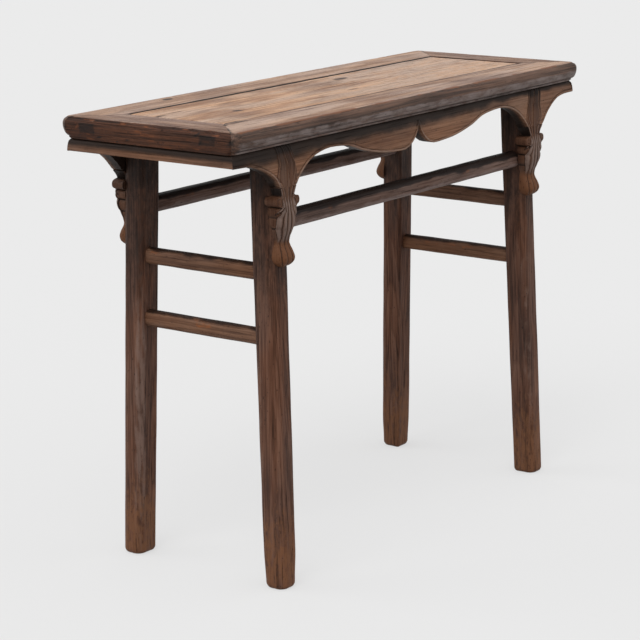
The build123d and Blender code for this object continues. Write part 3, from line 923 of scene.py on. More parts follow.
    def weather(
        self, p: float, q: float, a: float, b: float, height: float, inset: float, along_x: bool
    ) -> Spot:
        """Weather a point of a rail's surface.

        Args:
            p: Place along the rail.
            q: Place across it, outwards.
            a: Outward direction along the rail.
            b: Outward direction across the rail.
            height: Height of the point.
            inset: Distance in from the nearer outer face.
            along_x: Whether the rail is the front one.

        Returns:
            The worn point with its masks.
        """
        x, y, out_x, out_y = (p, -q, a, -b) if along_x else (-q, p, -b, a)
        top, end_side = self.height, abs(out_x)
        on_arris = bump(inset, 4 * MM, 5 * MM) * smooth(top - self.bullnose, top - 3 * MM, height)
        ragged = rough(x, y, height, 13 * MM) + 0.7 * rough(x, y, height, 4.5 * MM)
        bite = self.chip * on_arris * smooth(0.1, 0.8, ragged) * mix(0.6, 1.0, end_side)
        edge = smooth(26 * MM, 4 * MM, inset)
        wave = 0.22 * MM * (1 + rough(x, y, 0.0, 90 * MM)) * edge
        scar = 0.32 * MM * (1 + rough(x * 0.3, y * 0.3, height, 3 * MM)) * edge * mix(0.6, 1.0, end_side)
        flat = height > top - 0.5 * MM
        dish = 0.3 * MM * (1 + rough(x * 0.4, y * 0.4, 1.7, 20 * MM)) if flat else 0.0
        back, drop = wave + scar + 0.75 * bite, 0.75 * bite + dish
        place = Vector((x - out_x * back, y - out_y * back, height - drop))
        long_wave = rough(x, 3.1, 0.0, 60 * MM) + 0.6 * rough(x, 1.1, 0.0, 17 * MM)
        band = bump(inset, 10.0 * MM, 4.2 * MM) * smooth(top - 7 * MM, top - 4 * MM, height)
        near_corner = smooth(-0.44, -0.50, x)
        bare = band * (1 - end_side) * max(near_corner, smooth(-0.45, 0.25, long_wave))
        wear = (1 - end_side) * edge * smooth(top - 12 * MM, top - 19 * MM, height)
        wear *= 0.55 + 0.35 * rough(x * 0.3, y, height, 9 * MM)
        chips = max(bump(y, chip, 1.6 * MM) for chip in self.end_chips)
        wear = max(wear, 0.6 * end_side * on_arris * chips)
        bare = max(bare, 0.75 * end_side * edge * smooth(0.25, 0.6, rough(x, y * 0.2, height, 5 * MM)))
        quirk = self.underside + self.quirk_height
        soil = 0.95 * bump(height, quirk, 1.3 * MM) * edge * (1 - end_side)
        soil = max(soil, 0.8 * edge * smooth(0.35, 0.7, rough(x * 0.3, y * 0.3, height, 5 * MM)) * end_side)
        soil = max(soil, 0.3 * edge * end_side * smooth(top - 2 * MM, top - 9 * MM, height))
        near_sight = abs(abs(y) - self.sight_y) if along_x else abs(abs(x) - self.sight_x)
        if height > top - 4 * MM:
            faint = 0.6 if along_x else 0.35
            strength = mix(faint, 1.0 if along_x else 0.5, smooth(-0.44, -0.36, x))
            soil = max(soil, strength * bump(near_sight, 0.0, 4.2 * MM))
        mitre = abs((self.sight_x - abs(x)) - (self.sight_y - abs(y)))
        joint = 0.9 * bump(mitre, 0.0, 0.9 * MM) * smooth(-0.6, 0.1, rough(x, y, height + 9.0, 12 * MM))
        soil = max(soil, joint * smooth(top - 5 * MM, top - 2 * MM, height))
        if flat:
            return Spot(place, wear, soil, bare)
        if end_side < 0.5:
            for place_x, low in self.front_cracks:
                above = smooth(low - 2 * MM, low + 2 * MM, height)
                soil = max(soil, 0.95 * bump(x, place_x, 1.2 * MM) * above)
        elif not along_x:
            soil = max(soil, self.tenon_shade(abs(y), height))
        return Spot(place, wear, soil, bare)

    def tenon_shade(self, y: float, height: float) -> float:
        """Darken the through tenon's end, with its open joint, on an end face.

        Args:
            y: Distance from the table's middle.
            height: Height of the point.

        Returns:
            Darkness from 0 to 1.
        """
        (left, right), (low, high) = self.tenon_y, self.tenon_z
        inside = min(y - left, right - y, height - low, high - height)
        return max(0.66 * smooth(-0.5 * MM, 0.8 * MM, inside), 0.95 * bump(inside, 0.0, 1.4 * MM))

    def board(self, name: str, low_y: float, high_y: float) -> bpy.types.Object:
        """Build one board of the panel.

        Args:
            name: Name of the piece.
            low_y: Front edge.
            high_y: Rear edge.

        Returns:
            The board, whose edge along the middle meets the other board's.
        """
        slit, face = self.gap / 2, self.panel_face
        back, reach = face - self.board_thickness, self.sight_x - slit
        low, high = (y + math.copysign(slit, -y) if y else 0.0 for y in (low_y, high_y))
        steps, rows = self.board_steps, self.board_rows
        spans = [mix(low, high, step / steps) for step in range(steps + 1)]
        rings = []
        for row in range(rows + 1):
            x = mix(-reach, reach, row / rows)
            at_end = reach - abs(x)
            strength = mix(0.45, 1.0, smooth(2 * MM, 8 * MM, at_end))
            strength *= mix(0.6, 1.0, smooth(-0.40, -0.28, x))
            # Painted sheen: the boards are painted paler towards the right.
            pale = self.board_sheen * smooth(-0.35, 0.2, x)
            ring = [Spot(Vector((x, low, back)))]
            for y in spans:
                edge = min(abs(abs(y) - self.sight_y + slit), at_end)
                streaks = 0.2 * MM * (1 + rough(x * 0.15, y, 5.0, 6 * MM))
                sunk = 0.35 * MM * (1 + rough(x * 0.3, y, 2.0, 20 * MM))
                sunk += streaks + 0.9 * MM * bump(edge, 0.0, 1.0 * MM)
                joint = 0.5 * bump(y, 0.0, 1.2 * MM) * smooth(0.0, 0.5, rough(x, 7.0, 0.0, 80 * MM))
                line = strength * bump(edge, 0.0, self.board_joint)
                ring.append(Spot(Vector((x, y, face - sunk)), pale, max(line, joint)))
            ring.append(Spot(Vector((x, high, back))))
            rings.append(ring)
        return Loft(name, rings).build()

    def mark_knots(self, piece: bpy.types.Object) -> None:
        """Darken the knots and checks that fall on a piece's upper face.

        Args:
            piece: Piece at the origin, with its masks.
        """
        soil = piece.data.attributes["soil"].data
        for index, vertex in enumerate(piece.data.vertices):
            if vertex.co.z > self.panel_face - 2.5 * MM:
                marks = [knot.shade(vertex.co.x, vertex.co.y) for knot in self.knots]
                soil[index].value = max(soil[index].value, *marks)

    def build(self, shop: Workshop) -> None:
        """Build and dress the rails, the boards and the battens.

        Args:
            shop: Workshop that dresses them.
        """
        front = self.rail("front_rail_worn", True)
        shop.dress(front, LONG_RAIL, Grain.ALONG_X, "top_rail_front")
        rear = mirrored_copy(front, "rear_rail_worn", False, True)
        shop.dress(rear, LONG_RAIL, Grain.ALONG_X, "top_rail_rear")
        left = self.rail("left_end_rail_worn", False)
        shop.dress(left, END_RAIL, Grain.ALONG_Y, "top_end_rail_left")
        right = mirrored_copy(left, "right_end_rail_worn", True, False)
        shop.dress(right, END_RAIL, Grain.ALONG_Y, "top_end_rail_right")
        for rail in (front, rear, left, right):
            self.mark_knots(rail)
        for name, low_y, high_y in (("front", -self.sight_y, 0.0), ("rear", 0.0, self.sight_y)):
            board = self.board(f"{name}_board_worn", low_y, high_y)
            self.mark_knots(board)
            centre = Vector((0.0, 0.02, self.panel_face))
            shop.dress(board, PANEL, Grain.ALONG_X, f"panel_board_{name}", seed=5, centre=centre)
        for place in ("left", "centre", "right"):
            shop.dress_node(f"batten_{place}", BATTEN, Grain.ALONG_Y)


# ---------------------------------------------------------------------------------------------
# Legs and stretchers
# ---------------------------------------------------------------------------------------------


def rounded_ring(half_x: float, half_y: float, radii: Sequence[float], count: int) -> list[Pair]:
    """Points at even angles on a rectangle with its own rounding at each corner.

    Args:
        half_x: Half width.
        half_y: Half depth.
        radii: Rounding of the corners at (+x +y), (-x +y), (-x -y) and (+x -y).
        count: Number of points.

    Returns:
        The points, counter-clockwise from the +x side.
    """
    points = []
    for index in range(count):
        angle = math.tau * index / count
        c, s = math.cos(angle), math.sin(angle)
        radius = radii[0 if s >= 0 and c >= 0 else 1 if s >= 0 else 2 if c < 0 else 3]
        low, high = 0.0, 2 * max(half_x, half_y)
        for _ in range(22):
            reach = (low + high) / 2
            x, y = abs(reach * c) - (half_x - radius), abs(reach * s) - (half_y - radius)
            inside = math.hypot(max(x, 0), max(y, 0)) + min(max(x, y), 0.0) <= radius
            low, high = (reach, high) if inside else (low, reach)
        points.append((low * c, low * s))
    return points


@dataclass
class Legs:
    """Four splayed legs with a crisp inner corner and a rounded outer one."""

    foot_half: float = 23.5 * MM
    head_half: float = 24.5 * MM
    outer_radius: float = 17.0 * MM
    side_radius: float = 11.0 * MM
    foot_radius: float = 18.0 * MM
    foot_reach: float = 70.0 * MM
    inner_radius: float = 3.5 * MM
    splay_side: float = 0.0207
    splay_front: float = 0.0328
    sole_rounding: float = 9.0 * MM
    rubbing: float = 1.7
    around: int = 72
    rows: int = 150

    def __post_init__(self) -> None:
        """Read the right front leg's foot and the top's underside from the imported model."""
        low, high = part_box("leg_front_right")
        self.foot = (high.x - self.foot_half, low.y + self.foot_half)
        self.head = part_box("top_rail_front")[0].z

    def axis(self, height: float) -> tuple[float, float]:
        """Plan position of the right front leg's axis at a height."""
        return self.foot[0] - self.splay_side * height, self.foot[1] + self.splay_front * height

    def build_leg(self) -> bpy.types.Object:
        """Build the right front leg.

        Returns:
            The leg.
        """
        heights = [self.sole_rounding * (1 - math.cos(math.radians(step))) for step in range(0, 91, 15)]
        heights += [mix(self.sole_rounding, self.head, row / self.rows) for row in range(1, self.rows + 1)]
        rings = []
        for height in heights:
            half = mix(self.foot_half, self.head_half, height / self.head)
            below = max(0.0, self.sole_rounding - height)
            shrink = self.sole_rounding - math.sqrt(max(self.sole_rounding**2 - below**2, 0.0))
            side = mix(self.foot_radius, self.side_radius, smooth(0.0, self.foot_reach, height))
            radii = (side, self.inner_radius, side, self.outer_radius)
            x, y = self.axis(height)
            ring = []
            for dx, dy in rounded_ring(half, half, radii, self.around):
                reach = math.hypot(dx, dy)
                sway = 0.5 * MM * rough(x + dx, y + dy, height * 0.3, 30 * MM)
                ripple = 0.35 * MM * rough(x + dx, y + dy, height * 0.05, 4 * MM)
                share = (reach - shrink + sway + ripple) / reach
                strip = smooth(0.52, 0.84, abs(dx + dy) / (2 * half))
                streak = 0.62 + 0.5 * rough(x + dx, y + dy, height * 0.12, 6 * MM)
                worn = 0.7 * strip * streak * mix(0.75, 1.0, rough(x, y, height, 120 * MM))
                # Painted shadow under the top and behind the spandrels, with smoke-black: the leg is painted
                # darker towards its head.
                soot_and_shade = 0.5 * smooth(self.head - 430 * MM, self.head - 190 * MM, height)
                soil = max(soot_and_shade, 0.66 * smooth(self.head - 230 * MM, self.head - 60 * MM, height))
                worn *= 1 - soil
                bare = 0.58 * smooth(0.30, 0.04, height)
                bare = max(bare, 0.3 * smooth(0.4, 0.7, rough(dx, dy, height, 26 * MM)))
                ring.append(Spot(Vector((x + dx * share, y + dy * share, height)), worn, soil, bare))
            rings.append(ring)
        return Loft("leg_front_right_worn", rings, math.radians(60)).build()

    def rub(self, piece: bpy.types.Object) -> None:
        """Rub a leg's edges brighter than its neighbours'."""
        for item in piece.data.attributes["wear"].data:
            item.value = min(1.0, self.rubbing * item.value)

    def build(self, shop: Workshop) -> None:
        """Build and dress the four legs; the rear left one is rubbed the most.

        Args:
            shop: Workshop that dresses them.
        """
        leg = self.build_leg()
        copies = {
            "front_left": mirrored_copy(leg, "leg_front_left_worn", True, False),
            "rear_right": mirrored_copy(leg, "leg_rear_right_worn", False, True),
            "rear_left": mirrored_copy(leg, "leg_rear_left_worn", True, True),
            "front_right": leg,
        }
        self.rub(copies["rear_left"])
        for corner, piece in copies.items():
            shop.dress(piece, LEG, Grain.UPRIGHT, f"leg_{corner}")


@dataclass
class Stretchers:
    """Long and side stretchers, rounded by hand, darkened on top by painted shadow and smoke-black, and worn
    below.
    """

    rounding: float = 11.5 * MM
    segments: int = 7
    station: float = 6.0 * MM
    hollow: float = 0.5 * MM

    def bar(self, node: str, along_x: bool) -> bpy.types.Object:
        """Build one stretcher over the length of its node.

        Args:
            node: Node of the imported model.
            along_x: Whether it is a long stretcher.

        Returns:
            The stretcher.
        """
        low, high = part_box(node)
        middle, size = (low + high) / 2, high - low
        run = 0 if along_x else 1
        bpy.ops.object.select_all(action="DESELECT")
        bpy.ops.mesh.primitive_cube_add(size=1.0, location=middle, scale=size)
        piece = bpy.context.object
        piece.name = piece.data.name = f"{node}_worn"
        bpy.ops.object.transform_apply(location=True, rotation=True, scale=True)
        bpy.ops.object.mode_set(mode="EDIT")

        def lengthwise(one: Vector, other: Vector) -> bool:
            """Whether an edge runs along the bar."""
            return abs(one[run] - other[run]) > size[run] / 2

        select_edges(piece, lengthwise)
        bpy.ops.mesh.bevel(offset=self.rounding, segments=self.segments, affect="EDGES")
        select_edges(piece, lengthwise)
        bpy.ops.mesh.subdivide(number_cuts=int(size[run] / self.station))
        bpy.ops.object.mode_set(mode="OBJECT")
        for vertex in piece.data.vertices:
            place = vertex.co
            stretched = Vector(place)
            stretched[run] *= 0.3
            dent = self.hollow * (1 + rough(*stretched, 16 * MM))
            heart = Vector(middle)
            heart[run] = place[run]
            away = place - heart
            vertex.co = heart + away * (1 - dent / away.length)
        half = size.z / 2
        # Painted shadow under the table, with smoke-black: each bar is painted darker on top.
        shade_and_soot_band = (0.15, 0.62, 0.95) if along_x else (0.45, 0.95, 0.75)

        def brush(place: Vector) -> dict[str, float]:
            """Painted shadow and smoke-black on top, and worn and bare wood below."""
            up = (place.z - middle.z) / half + 0.25 * rough(*place, 30 * MM)
            return {
                "soil": shade_and_soot_band[2] * smooth(shade_and_soot_band[0], shade_and_soot_band[1], up),
                "wear": (0.75 if along_x else 0.35) * smooth(-0.05, -0.7, up),
                "bare": 0.4 * smooth(0.2, 0.5, rough(*place, 50 * MM)) * smooth(-0.6, 0.1, up),
            }

        paint(piece, brush)
        edit_all(face_outwards)
        bpy.ops.object.shade_smooth_by_angle(angle=math.radians(60))
        return piece

    def build(self, shop: Workshop) -> None:
        """Build and dress the six stretchers.

        Args:
            shop: Workshop that dresses them.
        """
        for node in ("stretcher_front", "stretcher_rear"):
            shop.dress(self.bar(node, True), LONG_STRETCHER, Grain.ALONG_X, node)
        for side in ("left", "right"):
            for place in ("upper", "lower"):
                node = f"side_stretcher_{side}_{place}"
                shop.dress(self.bar(node, False), SIDE_STRETCHER, Grain.ALONG_Y, node)


# ---------------------------------------------------------------------------------------------
# Aprons
# ---------------------------------------------------------------------------------------------


@dataclass
class Aprons:
    """Long aprons with a beaded, shaped lower edge, and the short strips at the ends."""

    cusp_depth: float = 14.0 * MM
    lobe_reach: float = 56.0 * MM
    lobe_depth: float = 60.5 * MM
    lap_depth: float = 76.0 * MM
    neck_depth: float = 92.0 * MM
    lean: float = 0.0328
    thickness: float = 26.0 * MM
    end_depth: float = 23.5 * MM
    top_inset: float = 6.5 * MM
    bead_width: float = 3.8 * MM
    field_depth: float = 1.3 * MM
    groove_depth: float = 0.9 * MM
    face_rows: int = 30
    neck_half: float = 17.2 * MM
    arch: tuple[tuple[float, float], ...] = (
        (183, 28), (128, 23.5), (96, 27.5), (66, 39), (48, 51.5), (33, 66), (24, 78), (17.2, 92),
    )
    left_wing: tuple[tuple[float, float], ...] = (
        (17.2, 92), (19.0, 80), (22.5, 70), (29, 60), (40, 50.5), (59, 40), (80, 32), (102, 25.5),
        (151, 23.5),
    )
    right_wing: tuple[tuple[float, float], ...] = (
        (17.2, 92), (20.5, 86), (27, 78.5), (33.6, 71), (40.5, 63.5), (47.4, 56), (56, 48.3), (65.5, 41.2),
        (78, 33.6), (92, 27.8), (118, 24), (151, 23.5),
    )

    def __post_init__(self) -> None:
        """Read the apron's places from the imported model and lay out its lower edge."""
        low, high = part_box("apron_front")
        self.underside, self.end = high.z, high.x
        self.face_foot = (low.y, low.z)
        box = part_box("spandrel_front_right")
        self.neck = (box[0].x + box[1].x) / 2
        self.corner_y = self.face_y(self.underside - self.end_depth)
        middle = self.neck / MM
        lobe = ((56, 60.5), (110, 56.8), (175, 44))
        self.inner_edge = Curve(*lobe, *((middle - inwards, depth) for inwards, depth in self.arch))
        self.outer_edges = {
            side: Curve(*((middle + outwards, depth) for outwards, depth in wing))
            for side, wing in ((-1, self.left_wing), (1, self.right_wing))
        }
        self.edge_samples = self.sample_edge()

    def face_y(self, height: float) -> float:
        """Y of the front apron's flat face at a height."""
        return self.face_foot[0] + self.lean * (height - self.face_foot[1])

    def cove(self, depth: float) -> float:
        """How far the face stands back in the hollow under the top."""
        share = max(0.0, 1 - depth / self.end_depth)
        return self.top_inset * (1 - math.sqrt(1 - share**2))

    def edge_depth(self, x: float) -> float:
        """Depth of the shaped edge under the top, at a place along the table."""
        side, x = (1 if x > 0 else -1), abs(x)
        if x < self.lobe_reach:
            rise = self.lobe_depth - self.cusp_depth
            radius = (self.lobe_reach**2 + rise**2) / (2 * rise)
            return self.lobe_depth - radius + math.sqrt(radius**2 - (self.lobe_reach - x) ** 2)
        return self.inner_edge(x) if x < self.neck else self.outer_edges[side](x)

    def sample_edge(self) -> KDTree:
        """Closely spaced points of the shaped edge, without the two necks, for measuring from it."""
        points, x = [], -self.end
        while x < self.end:
            depth = self.edge_depth(x)
            if abs(abs(x) - self.neck) > self.neck_half:
                points.append((x, depth, 0.0))
            slope = abs(self.edge_depth(x + 0.1 * MM) - depth) / (0.1 * MM)
            x += 0.5 * MM / math.hypot(1.0, slope)
        tree = KDTree(len(points))
        for index, point in enumerate(points):
            tree.insert(point, index)
        tree.balance()
        return tree

    def stations(self) -> list[float]:
        """Places along the table, closer together where the lower edge is steep."""
        places, x = [0.0], 0.0
        while x < self.end:
            rises = [self.edge_depth(side * (x + 0.5 * MM)) - self.edge_depth(side * x) for side in (-1, 1)]
            slope = max(abs(rise) for rise in rises) / (0.5 * MM)
            x += max(0.6 * MM, 3.0 * MM / (1 + 1.6 * slope))
            places.append(min(x, self.end))
        return [-x for x in reversed(places[1:])] + places

    def edge_distance(self, x: float, depth: float) -> float:
        """Distance of a point of the face from the shaped edge, measured on the face."""
        return self.edge_samples.find((x, depth, 0.0))[2]

    def relief(self, x: float, depth: float) -> tuple[float, float, float]:
        """Bead and groove along the lower edge; the bead's crown is painted pale, as worn wood and painted
        highlight, but for the right wing's.

        Args:
            x: Place along the table.
            depth: Level.

        Returns:
            How far the face stands back, the wear mask and the soil mask.
        """
        distance = self.edge_distance(x, depth)
        share, rubbed = distance / self.bead_width, 1 - smooth(self.neck, self.neck + 20 * MM, x)
        if share < 1:
            crown = math.sqrt(max(0.0, 1 - (2 * share - 1) ** 2))
            # The bead's crown is painted pale, as worn wood and painted highlight; its flanks are painted
            # darker, as painted shade.
            dirt_and_shade = max(0.4 * (1 - crown) ** 2, 0.45 * (1 - rubbed) * (1 - share))
            return self.field_depth * 0.8 * (1 - crown), 0.62 * crown * rubbed, dirt_and_shade
        # The groove beside the bead is painted dark.
        groove = bump(distance, self.bead_width + 0.4 * MM, 1.0 * MM)
        return self.field_depth + self.groove_depth * groove, 0.0, 0.75 * groove

    def build_long(self) -> bpy.types.Object:
        """Build the front apron.

        Returns:
            The apron.
        """
        rings = []
        for x in self.stations():
            depth = min(self.edge_depth(x), self.lap_depth)
            ring = []
            for row in range(self.face_rows + 1):
                level = depth * (1 - (row / self.face_rows) ** 1.7)
                height = self.underside - level
                back, worn, dirt_and_shade = self.relief(x, level)
                hollow = 0.25 * MM * (1 + rough(x, 0.0, height, 35 * MM))
                y = self.face_y(height) + self.cove(level) + back + hollow
                # Painted sheen: the apron is painted paler and greyer towards the right, and its dark top
                # band is narrower there.
                painted_sheen = smooth(0.0, 0.42, x)
                reach = mix(44 * MM, 18 * MM, painted_sheen) + 14 * MM * smooth(-0.30, -0.40, x)
                # Painted shade under the top, with grimy wood: the face is painted darker towards the top.
                grime_and_shade = 0.88 * smooth(reach, 0.1 * reach, level + 6 * MM * rough(x, 0.0, height, 40 * MM))
                worn = max(worn, 0.30 * painted_sheen) * (1 - grime_and_shade)
                ring.append(Spot(Vector((self.mitred(x, y), y, height)), worn, max(dirt_and_shade, grime_and_shade)))
            for share, back in ((0.0, 1.0), (0.5, 1.0), (1.0, 1.0), (1.0, 0.75), (1.0, 0.45), (1.0, 0.2)):
                height = self.underside - depth * share
                y = self.face_y(height) + self.thickness * back
                # Painted shade and smoke-black on the back face and the underside, darkest at the back.
                soot_and_shade = mix(0.35, 0.9, smooth(0.1, 0.7, back))
                ring.append(Spot(Vector((self.mitred(x, y), y, height)), soil=soot_and_shade))
            rings.append(ring)
        return Loft("front_apron_beaded", rings, math.radians(50)).build()

    def mitred(self, x: float, y: float) -> float:
        """Place along the table of a point, drawn in so that both ends are mitred."""
        limit = self.end - max(0.0, y - self.corner_y)
        return math.copysign(min(abs(x), limit), x)

    def build_end(self) -> bpy.types.Object:
        """Build the right end strip.

        Returns:
            The strip.
        """
        foot, outline = self.underside - self.end_depth, []
        for step in range(15):
            level = self.end_depth * (1 - (step / 14) ** 1.3)
            # Painted shade under the top, with grimy wood: the strip is painted darker towards the top.
            grime_and_shade = max(0.85 * smooth(22 * MM, 6 * MM, level), 0.36)
            foot_line = 0.4 * bump(self.end_depth - level, 0.0, 1.2 * MM)
            outline.append((self.end - self.cove(level), self.underside - level, 0.0, max(grime_and_shade, foot_line)))
        inner = self.end - self.thickness
        outline += [(inner, self.underside, 0.0, 0.4), (inner, foot, 0.0, 0.2)]
        outline.append((inner + self.thickness / 2, foot, 0.0, 0.0))
        rings, rows = [], 110
        for row in range(rows + 1):
            ring = []
            for x, height, worn, dirt_and_shade in outline:
                limit = -self.corner_y - (self.end - x)
                y = mix(-limit, limit, row / rows)
                hollow = 0.25 * MM * (1 + rough(x, y, height, 35 * MM))
                ring.append(Spot(Vector((x - hollow, y, height)), worn, dirt_and_shade))
            rings.append(ring)
        return Loft("right_end_apron_beaded", rings, math.radians(50)).build()

    def build(self, shop: Workshop) -> None:
        """Build and dress the four aprons.

        Args:
            shop: Workshop that dresses them.
        """
        front = self.build_long()
        shop.dress(front, APRON, Grain.ALONG_X, "apron_front")
        shop.dress(mirrored_copy(front, "rear_apron_beaded", True, True), APRON, Grain.ALONG_X, "apron_rear")
        right = self.build_end()
        shop.dress(right, APRON, Grain.ALONG_Y, "end_apron_right")
        left = mirrored_copy(right, "left_end_apron_beaded", True, False)
        shop.dress(left, APRON, Grain.ALONG_Y, "end_apron_left")


# ---------------------------------------------------------------------------------------------
# Carved spandrels
# ---------------------------------------------------------------------------------------------


@dataclass
class Spandrels:
    """Carved stems that fan out at the head, narrow at the neck and end in rolls and a bulb.

    Places across the front are positive towards the table's middle, the reach of a place is
    its way round the section from the middle of the front, and levels are depths under the top.
    """

    aprons: Aprons
    side: int = 1
    stem_thickness: float = 13.0 * MM
    drop_thickness: float = 27.6 * MM
    rows: int = 300
    front_points: int = 27
    corner_points: int = 26
    side_points: int = 9
    stem_rise: float = 0.5 * MM
    rib_depth: float = 1.7 * MM
    bead_height: float = 0.8 * MM
    rib_pitch: float = 0.4
    outer_rise: float = 2.2 * MM
    outer_drop: float = 1.2 * MM
    inner_drop: float = 3.6 * MM
    tip: Curve = Curve((15, 110), (19, 114.5), (23, 117.6), (27, 119.8), (31.5, 121.6), (34, 122))
    volute: tuple[float, float] = (24.6 * MM, 101.0 * MM)
    notches: tuple[float, ...] = (111.2 * MM, 129.6 * MM, 150.8 * MM)
    stem_edges: tuple[Curve, Curve] = (
        Curve(
            (0, -29.5), (21, -25.5), (34, -23.8), (45, -26), (54, -29), (60, -28.4), (65, -25.2),
            (70, -22.2), (76, -19.9),
        ),
        Curve((0, 17), (22, 24), (41, 30), (55, 31), (66, 31), (70, 28.6), (76, 24.6)),
    )
    stem_ridges: tuple[Curve, ...] = (
        Curve(
            (0, -26.5), (21, -22), (34, -20.3), (44, -22.6), (56, -25), (68, -19), (80, -11),
            (92, -8), (104, -7),
        ),
        Curve((0, -10), (20, -3.3), (38, 2.4), (65, 3.4), (84, 0.8), (104, 0)),
        Curve((0, 6), (22, 16), (41, 24), (58, 21), (75, 14), (88, 9), (104, 7)),
    )
    half_widths: Curve = Curve(
        (91, 17.2), (91.8, 21), (93, 28.5), (95, 31.6), (98, 33.3), (101, 33.8), (104, 33.3), (107, 31.5),
        (109, 28.7), (110.2, 25.2), (111.2, 22.6), (112.6, 23.6), (116, 25.8), (120.5, 26.4), (125, 25.6),
        (128, 24), (129.6, 22.8), (131, 23.6), (135, 25.2), (140, 25.3), (145, 24.6), (148.5, 23.2),
        (150.5, 21.4), (153, 21.3), (158, 20.6), (166, 19.6), (174, 19.6), (182, 20.8), (190, 22.4),
        (200, 23.6), (207, 22.2), (212, 18.8), (216, 14), (219, 7), (220, 3),
    )
    reaches: Curve = Curve(
        (76, 27.6), (122, 27.6), (136, 26.8), (148, 24.8), (158, 21.9), (166, 19), (174, 18),
        (182, 20.2), (192, 24.8), (202, 27.2), (209, 25), (215, 19), (220, 8),
    )
    roundings: Curve = Curve(
        (76, 1.0), (92, 1.2), (96, 3), (108, 4), (113, 9), (120, 12), (140, 14), (158, 16.5),
        (200, 17), (208, 15), (214, 12), (218, 7), (220, 2),
    )
    leaf_rises: Curve = Curve((84, 0), (96, 0.5), (104, 1.4), (114, 2.2), (150, 2.4), (168, 1.3), (180, 0))
    first_blade: Curve = Curve(
        (90, 17.2), (99, 16.6), (104, 17.2), (108, 18.6), (113.4, 22.5), (118, 27.5), (121, 31.5),
    )
    second_blade: Curve = Curve(
        (110, 14.5), (117, 19), (122, 22.5), (125.6, 24.8), (134.7, 28), (144, 27.7), (154.6, 23.6),
        (166.7, 18.8), (176, 18.5), (190, 23), (202, 26), (212, 20), (220, 6),
    )

    def place_x(self, across: float) -> float:
        """Place along the table of a place across the front."""
        return self.side * (self.aprons.neck - across)

    def turned(self, sign: int, depth: float) -> float:
        """Depth along the rolls, which sit higher on the left spandrel's outer side than elsewhere."""
        if self.side < 0:
            shift = self.outer_rise if sign < 0 else 0.0
        else:
            shift = -self.outer_drop if sign < 0 else -self.inner_drop
        return depth + shift * (1 - smooth(150 * MM, 176 * MM, depth))

    def outline(self, sign: int, depth: float) -> float:
        """Half width of the neck over the rolls, where the apron's shaped edge bounds it."""
        low, high = 10 * MM, 45 * MM
        for _ in range(18):
            middle = (low + high) / 2
            inside = self.aprons.edge_depth(self.place_x(sign * middle)) > depth
            low, high = (middle, high) if inside else (low, middle)
        return low

    def half(self, sign: int, depth: float) -> float:
        """Half width of one side of the drop."""
        rolls = self.half_widths(self.turned(sign, depth))
        return max(rolls, self.outline(sign, depth)) if depth < self.aprons.neck_depth else rolls

    def in_leaf(self, sign: int, reach: float, depth: float) -> float:
        """Distance of a point in from the leaf's edge, less than 0 outside the leaf."""
        if depth < self.aprons.neck_depth:
            return self.outline(sign, depth) - reach
        first = min(self.first_blade(depth) - reach, self.tip(reach) - depth)
        second = self.second_blade(depth) - reach if depth > 108 * MM else -1.0
        return max(first, second)

    def carve_stem(self, across: float, depth: float) -> tuple[float, float, float]:
        """Fan of ridges and flutes on the stem, and the bead where it nears the shaped edge.

        Args:
            across: Place across the front.
            depth: Level.

        Returns:
            How far the wood stands out from the bead's crown, the mask of worn wood and painted highlight,
            and the mask of dark marks and painted shade.
        """
        lift, wear, soil = self.stem_rise - self.aprons.field_depth, 0.1, 0.0
        for index, ridge in enumerate(self.stem_ridges):
            line = ridge(depth)
            crest = bump(across, line, 1.5 * MM)
            cut = bump(across, line + 3.4 * MM, 1.4 * MM)
            if index:
                cut = max(cut, 0.7 * bump(across, line - 3.4 * MM, 1.4 * MM))
                cut = max(cut, 0.5 * bump(across, line + 7.2 * MM, 1.0 * MM))
            lift += 0.9 * MM * crest - 1.0 * MM * cut
            wear, soil = max(wear, 0.52 * crest), max(soil, 0.66 * cut)
        distance = self.aprons.edge_distance(self.place_x(across), depth)
        back, worn, dirt_and_shade = self.aprons.relief(self.place_x(across), depth)
        near = smooth(self.aprons.bead_width + 2.5 * MM, self.aprons.bead_width, distance)
        return mix(lift, 0.1 * MM - back, near), mix(wear, worn, near), mix(soil, dirt_and_shade, near)

    def carve_drop(
        self, sign: int, reach: float, depth: float, across: float
    ) -> tuple[float, float, float, float]:
        """Carving of the drop: the ribbed leaf, the rolls beside it and the fluted bulb.

        Args:
            sign: Side, 1 towards the table's middle.
            reach: Way round the section from the middle of the front.
            depth: Level.
            across: Distance across the front.

        Returns:
            How far the wood stands out, and the masks of worn wood, of dark marks and painted shade, and of
            bare wood.
        """
        inside = self.in_leaf(sign, reach, depth)
        low = smooth(160 * MM, 180 * MM, depth)
        pitch = self.rib_pitch * mix(1.0, 1.3, low)
        wave = abs(math.cos(math.pi * min(1.1, reach / self.second_blade(depth)) / pitch))
        if depth < 118 * MM:
            wave = abs(math.cos(math.pi * reach / (17 * MM) / self.rib_pitch)) if reach < 15 * MM else 1.0
        ribs = self.rib_depth * (1 - wave**0.55)
        grooves = (1 - wave) ** 2.4
        if inside > 0:
            start = smooth(88 * MM, 106 * MM, depth)
            rim = bump(inside, 1.3 * MM, 1.0 * MM) * (1 - low)
            lift = self.leaf_rises(depth) - ribs * smooth(0.5 * MM, 3 * MM, inside) + self.bead_height * rim
            wear = max(0.24 + 0.50 * wave**1.3, 0.78 * rim) * (1 - 0.6 * low)
            soil, bare = mix(0.88, 0.85, low) * grooves * (1 - rim), 0.66 * low
            if 110 * MM < depth < 123 * MM and reach > self.second_blade(depth) - 1 * MM:
                split = bump(self.tip(reach), depth, 1.2 * MM)
                lift -= 1.2 * MM * split
                soil, wear = max(soil, 0.9 * split), wear * (1 - split)
            if start < 1:
                out, worn, dirt_and_shade = self.carve_stem(sign * across, depth)
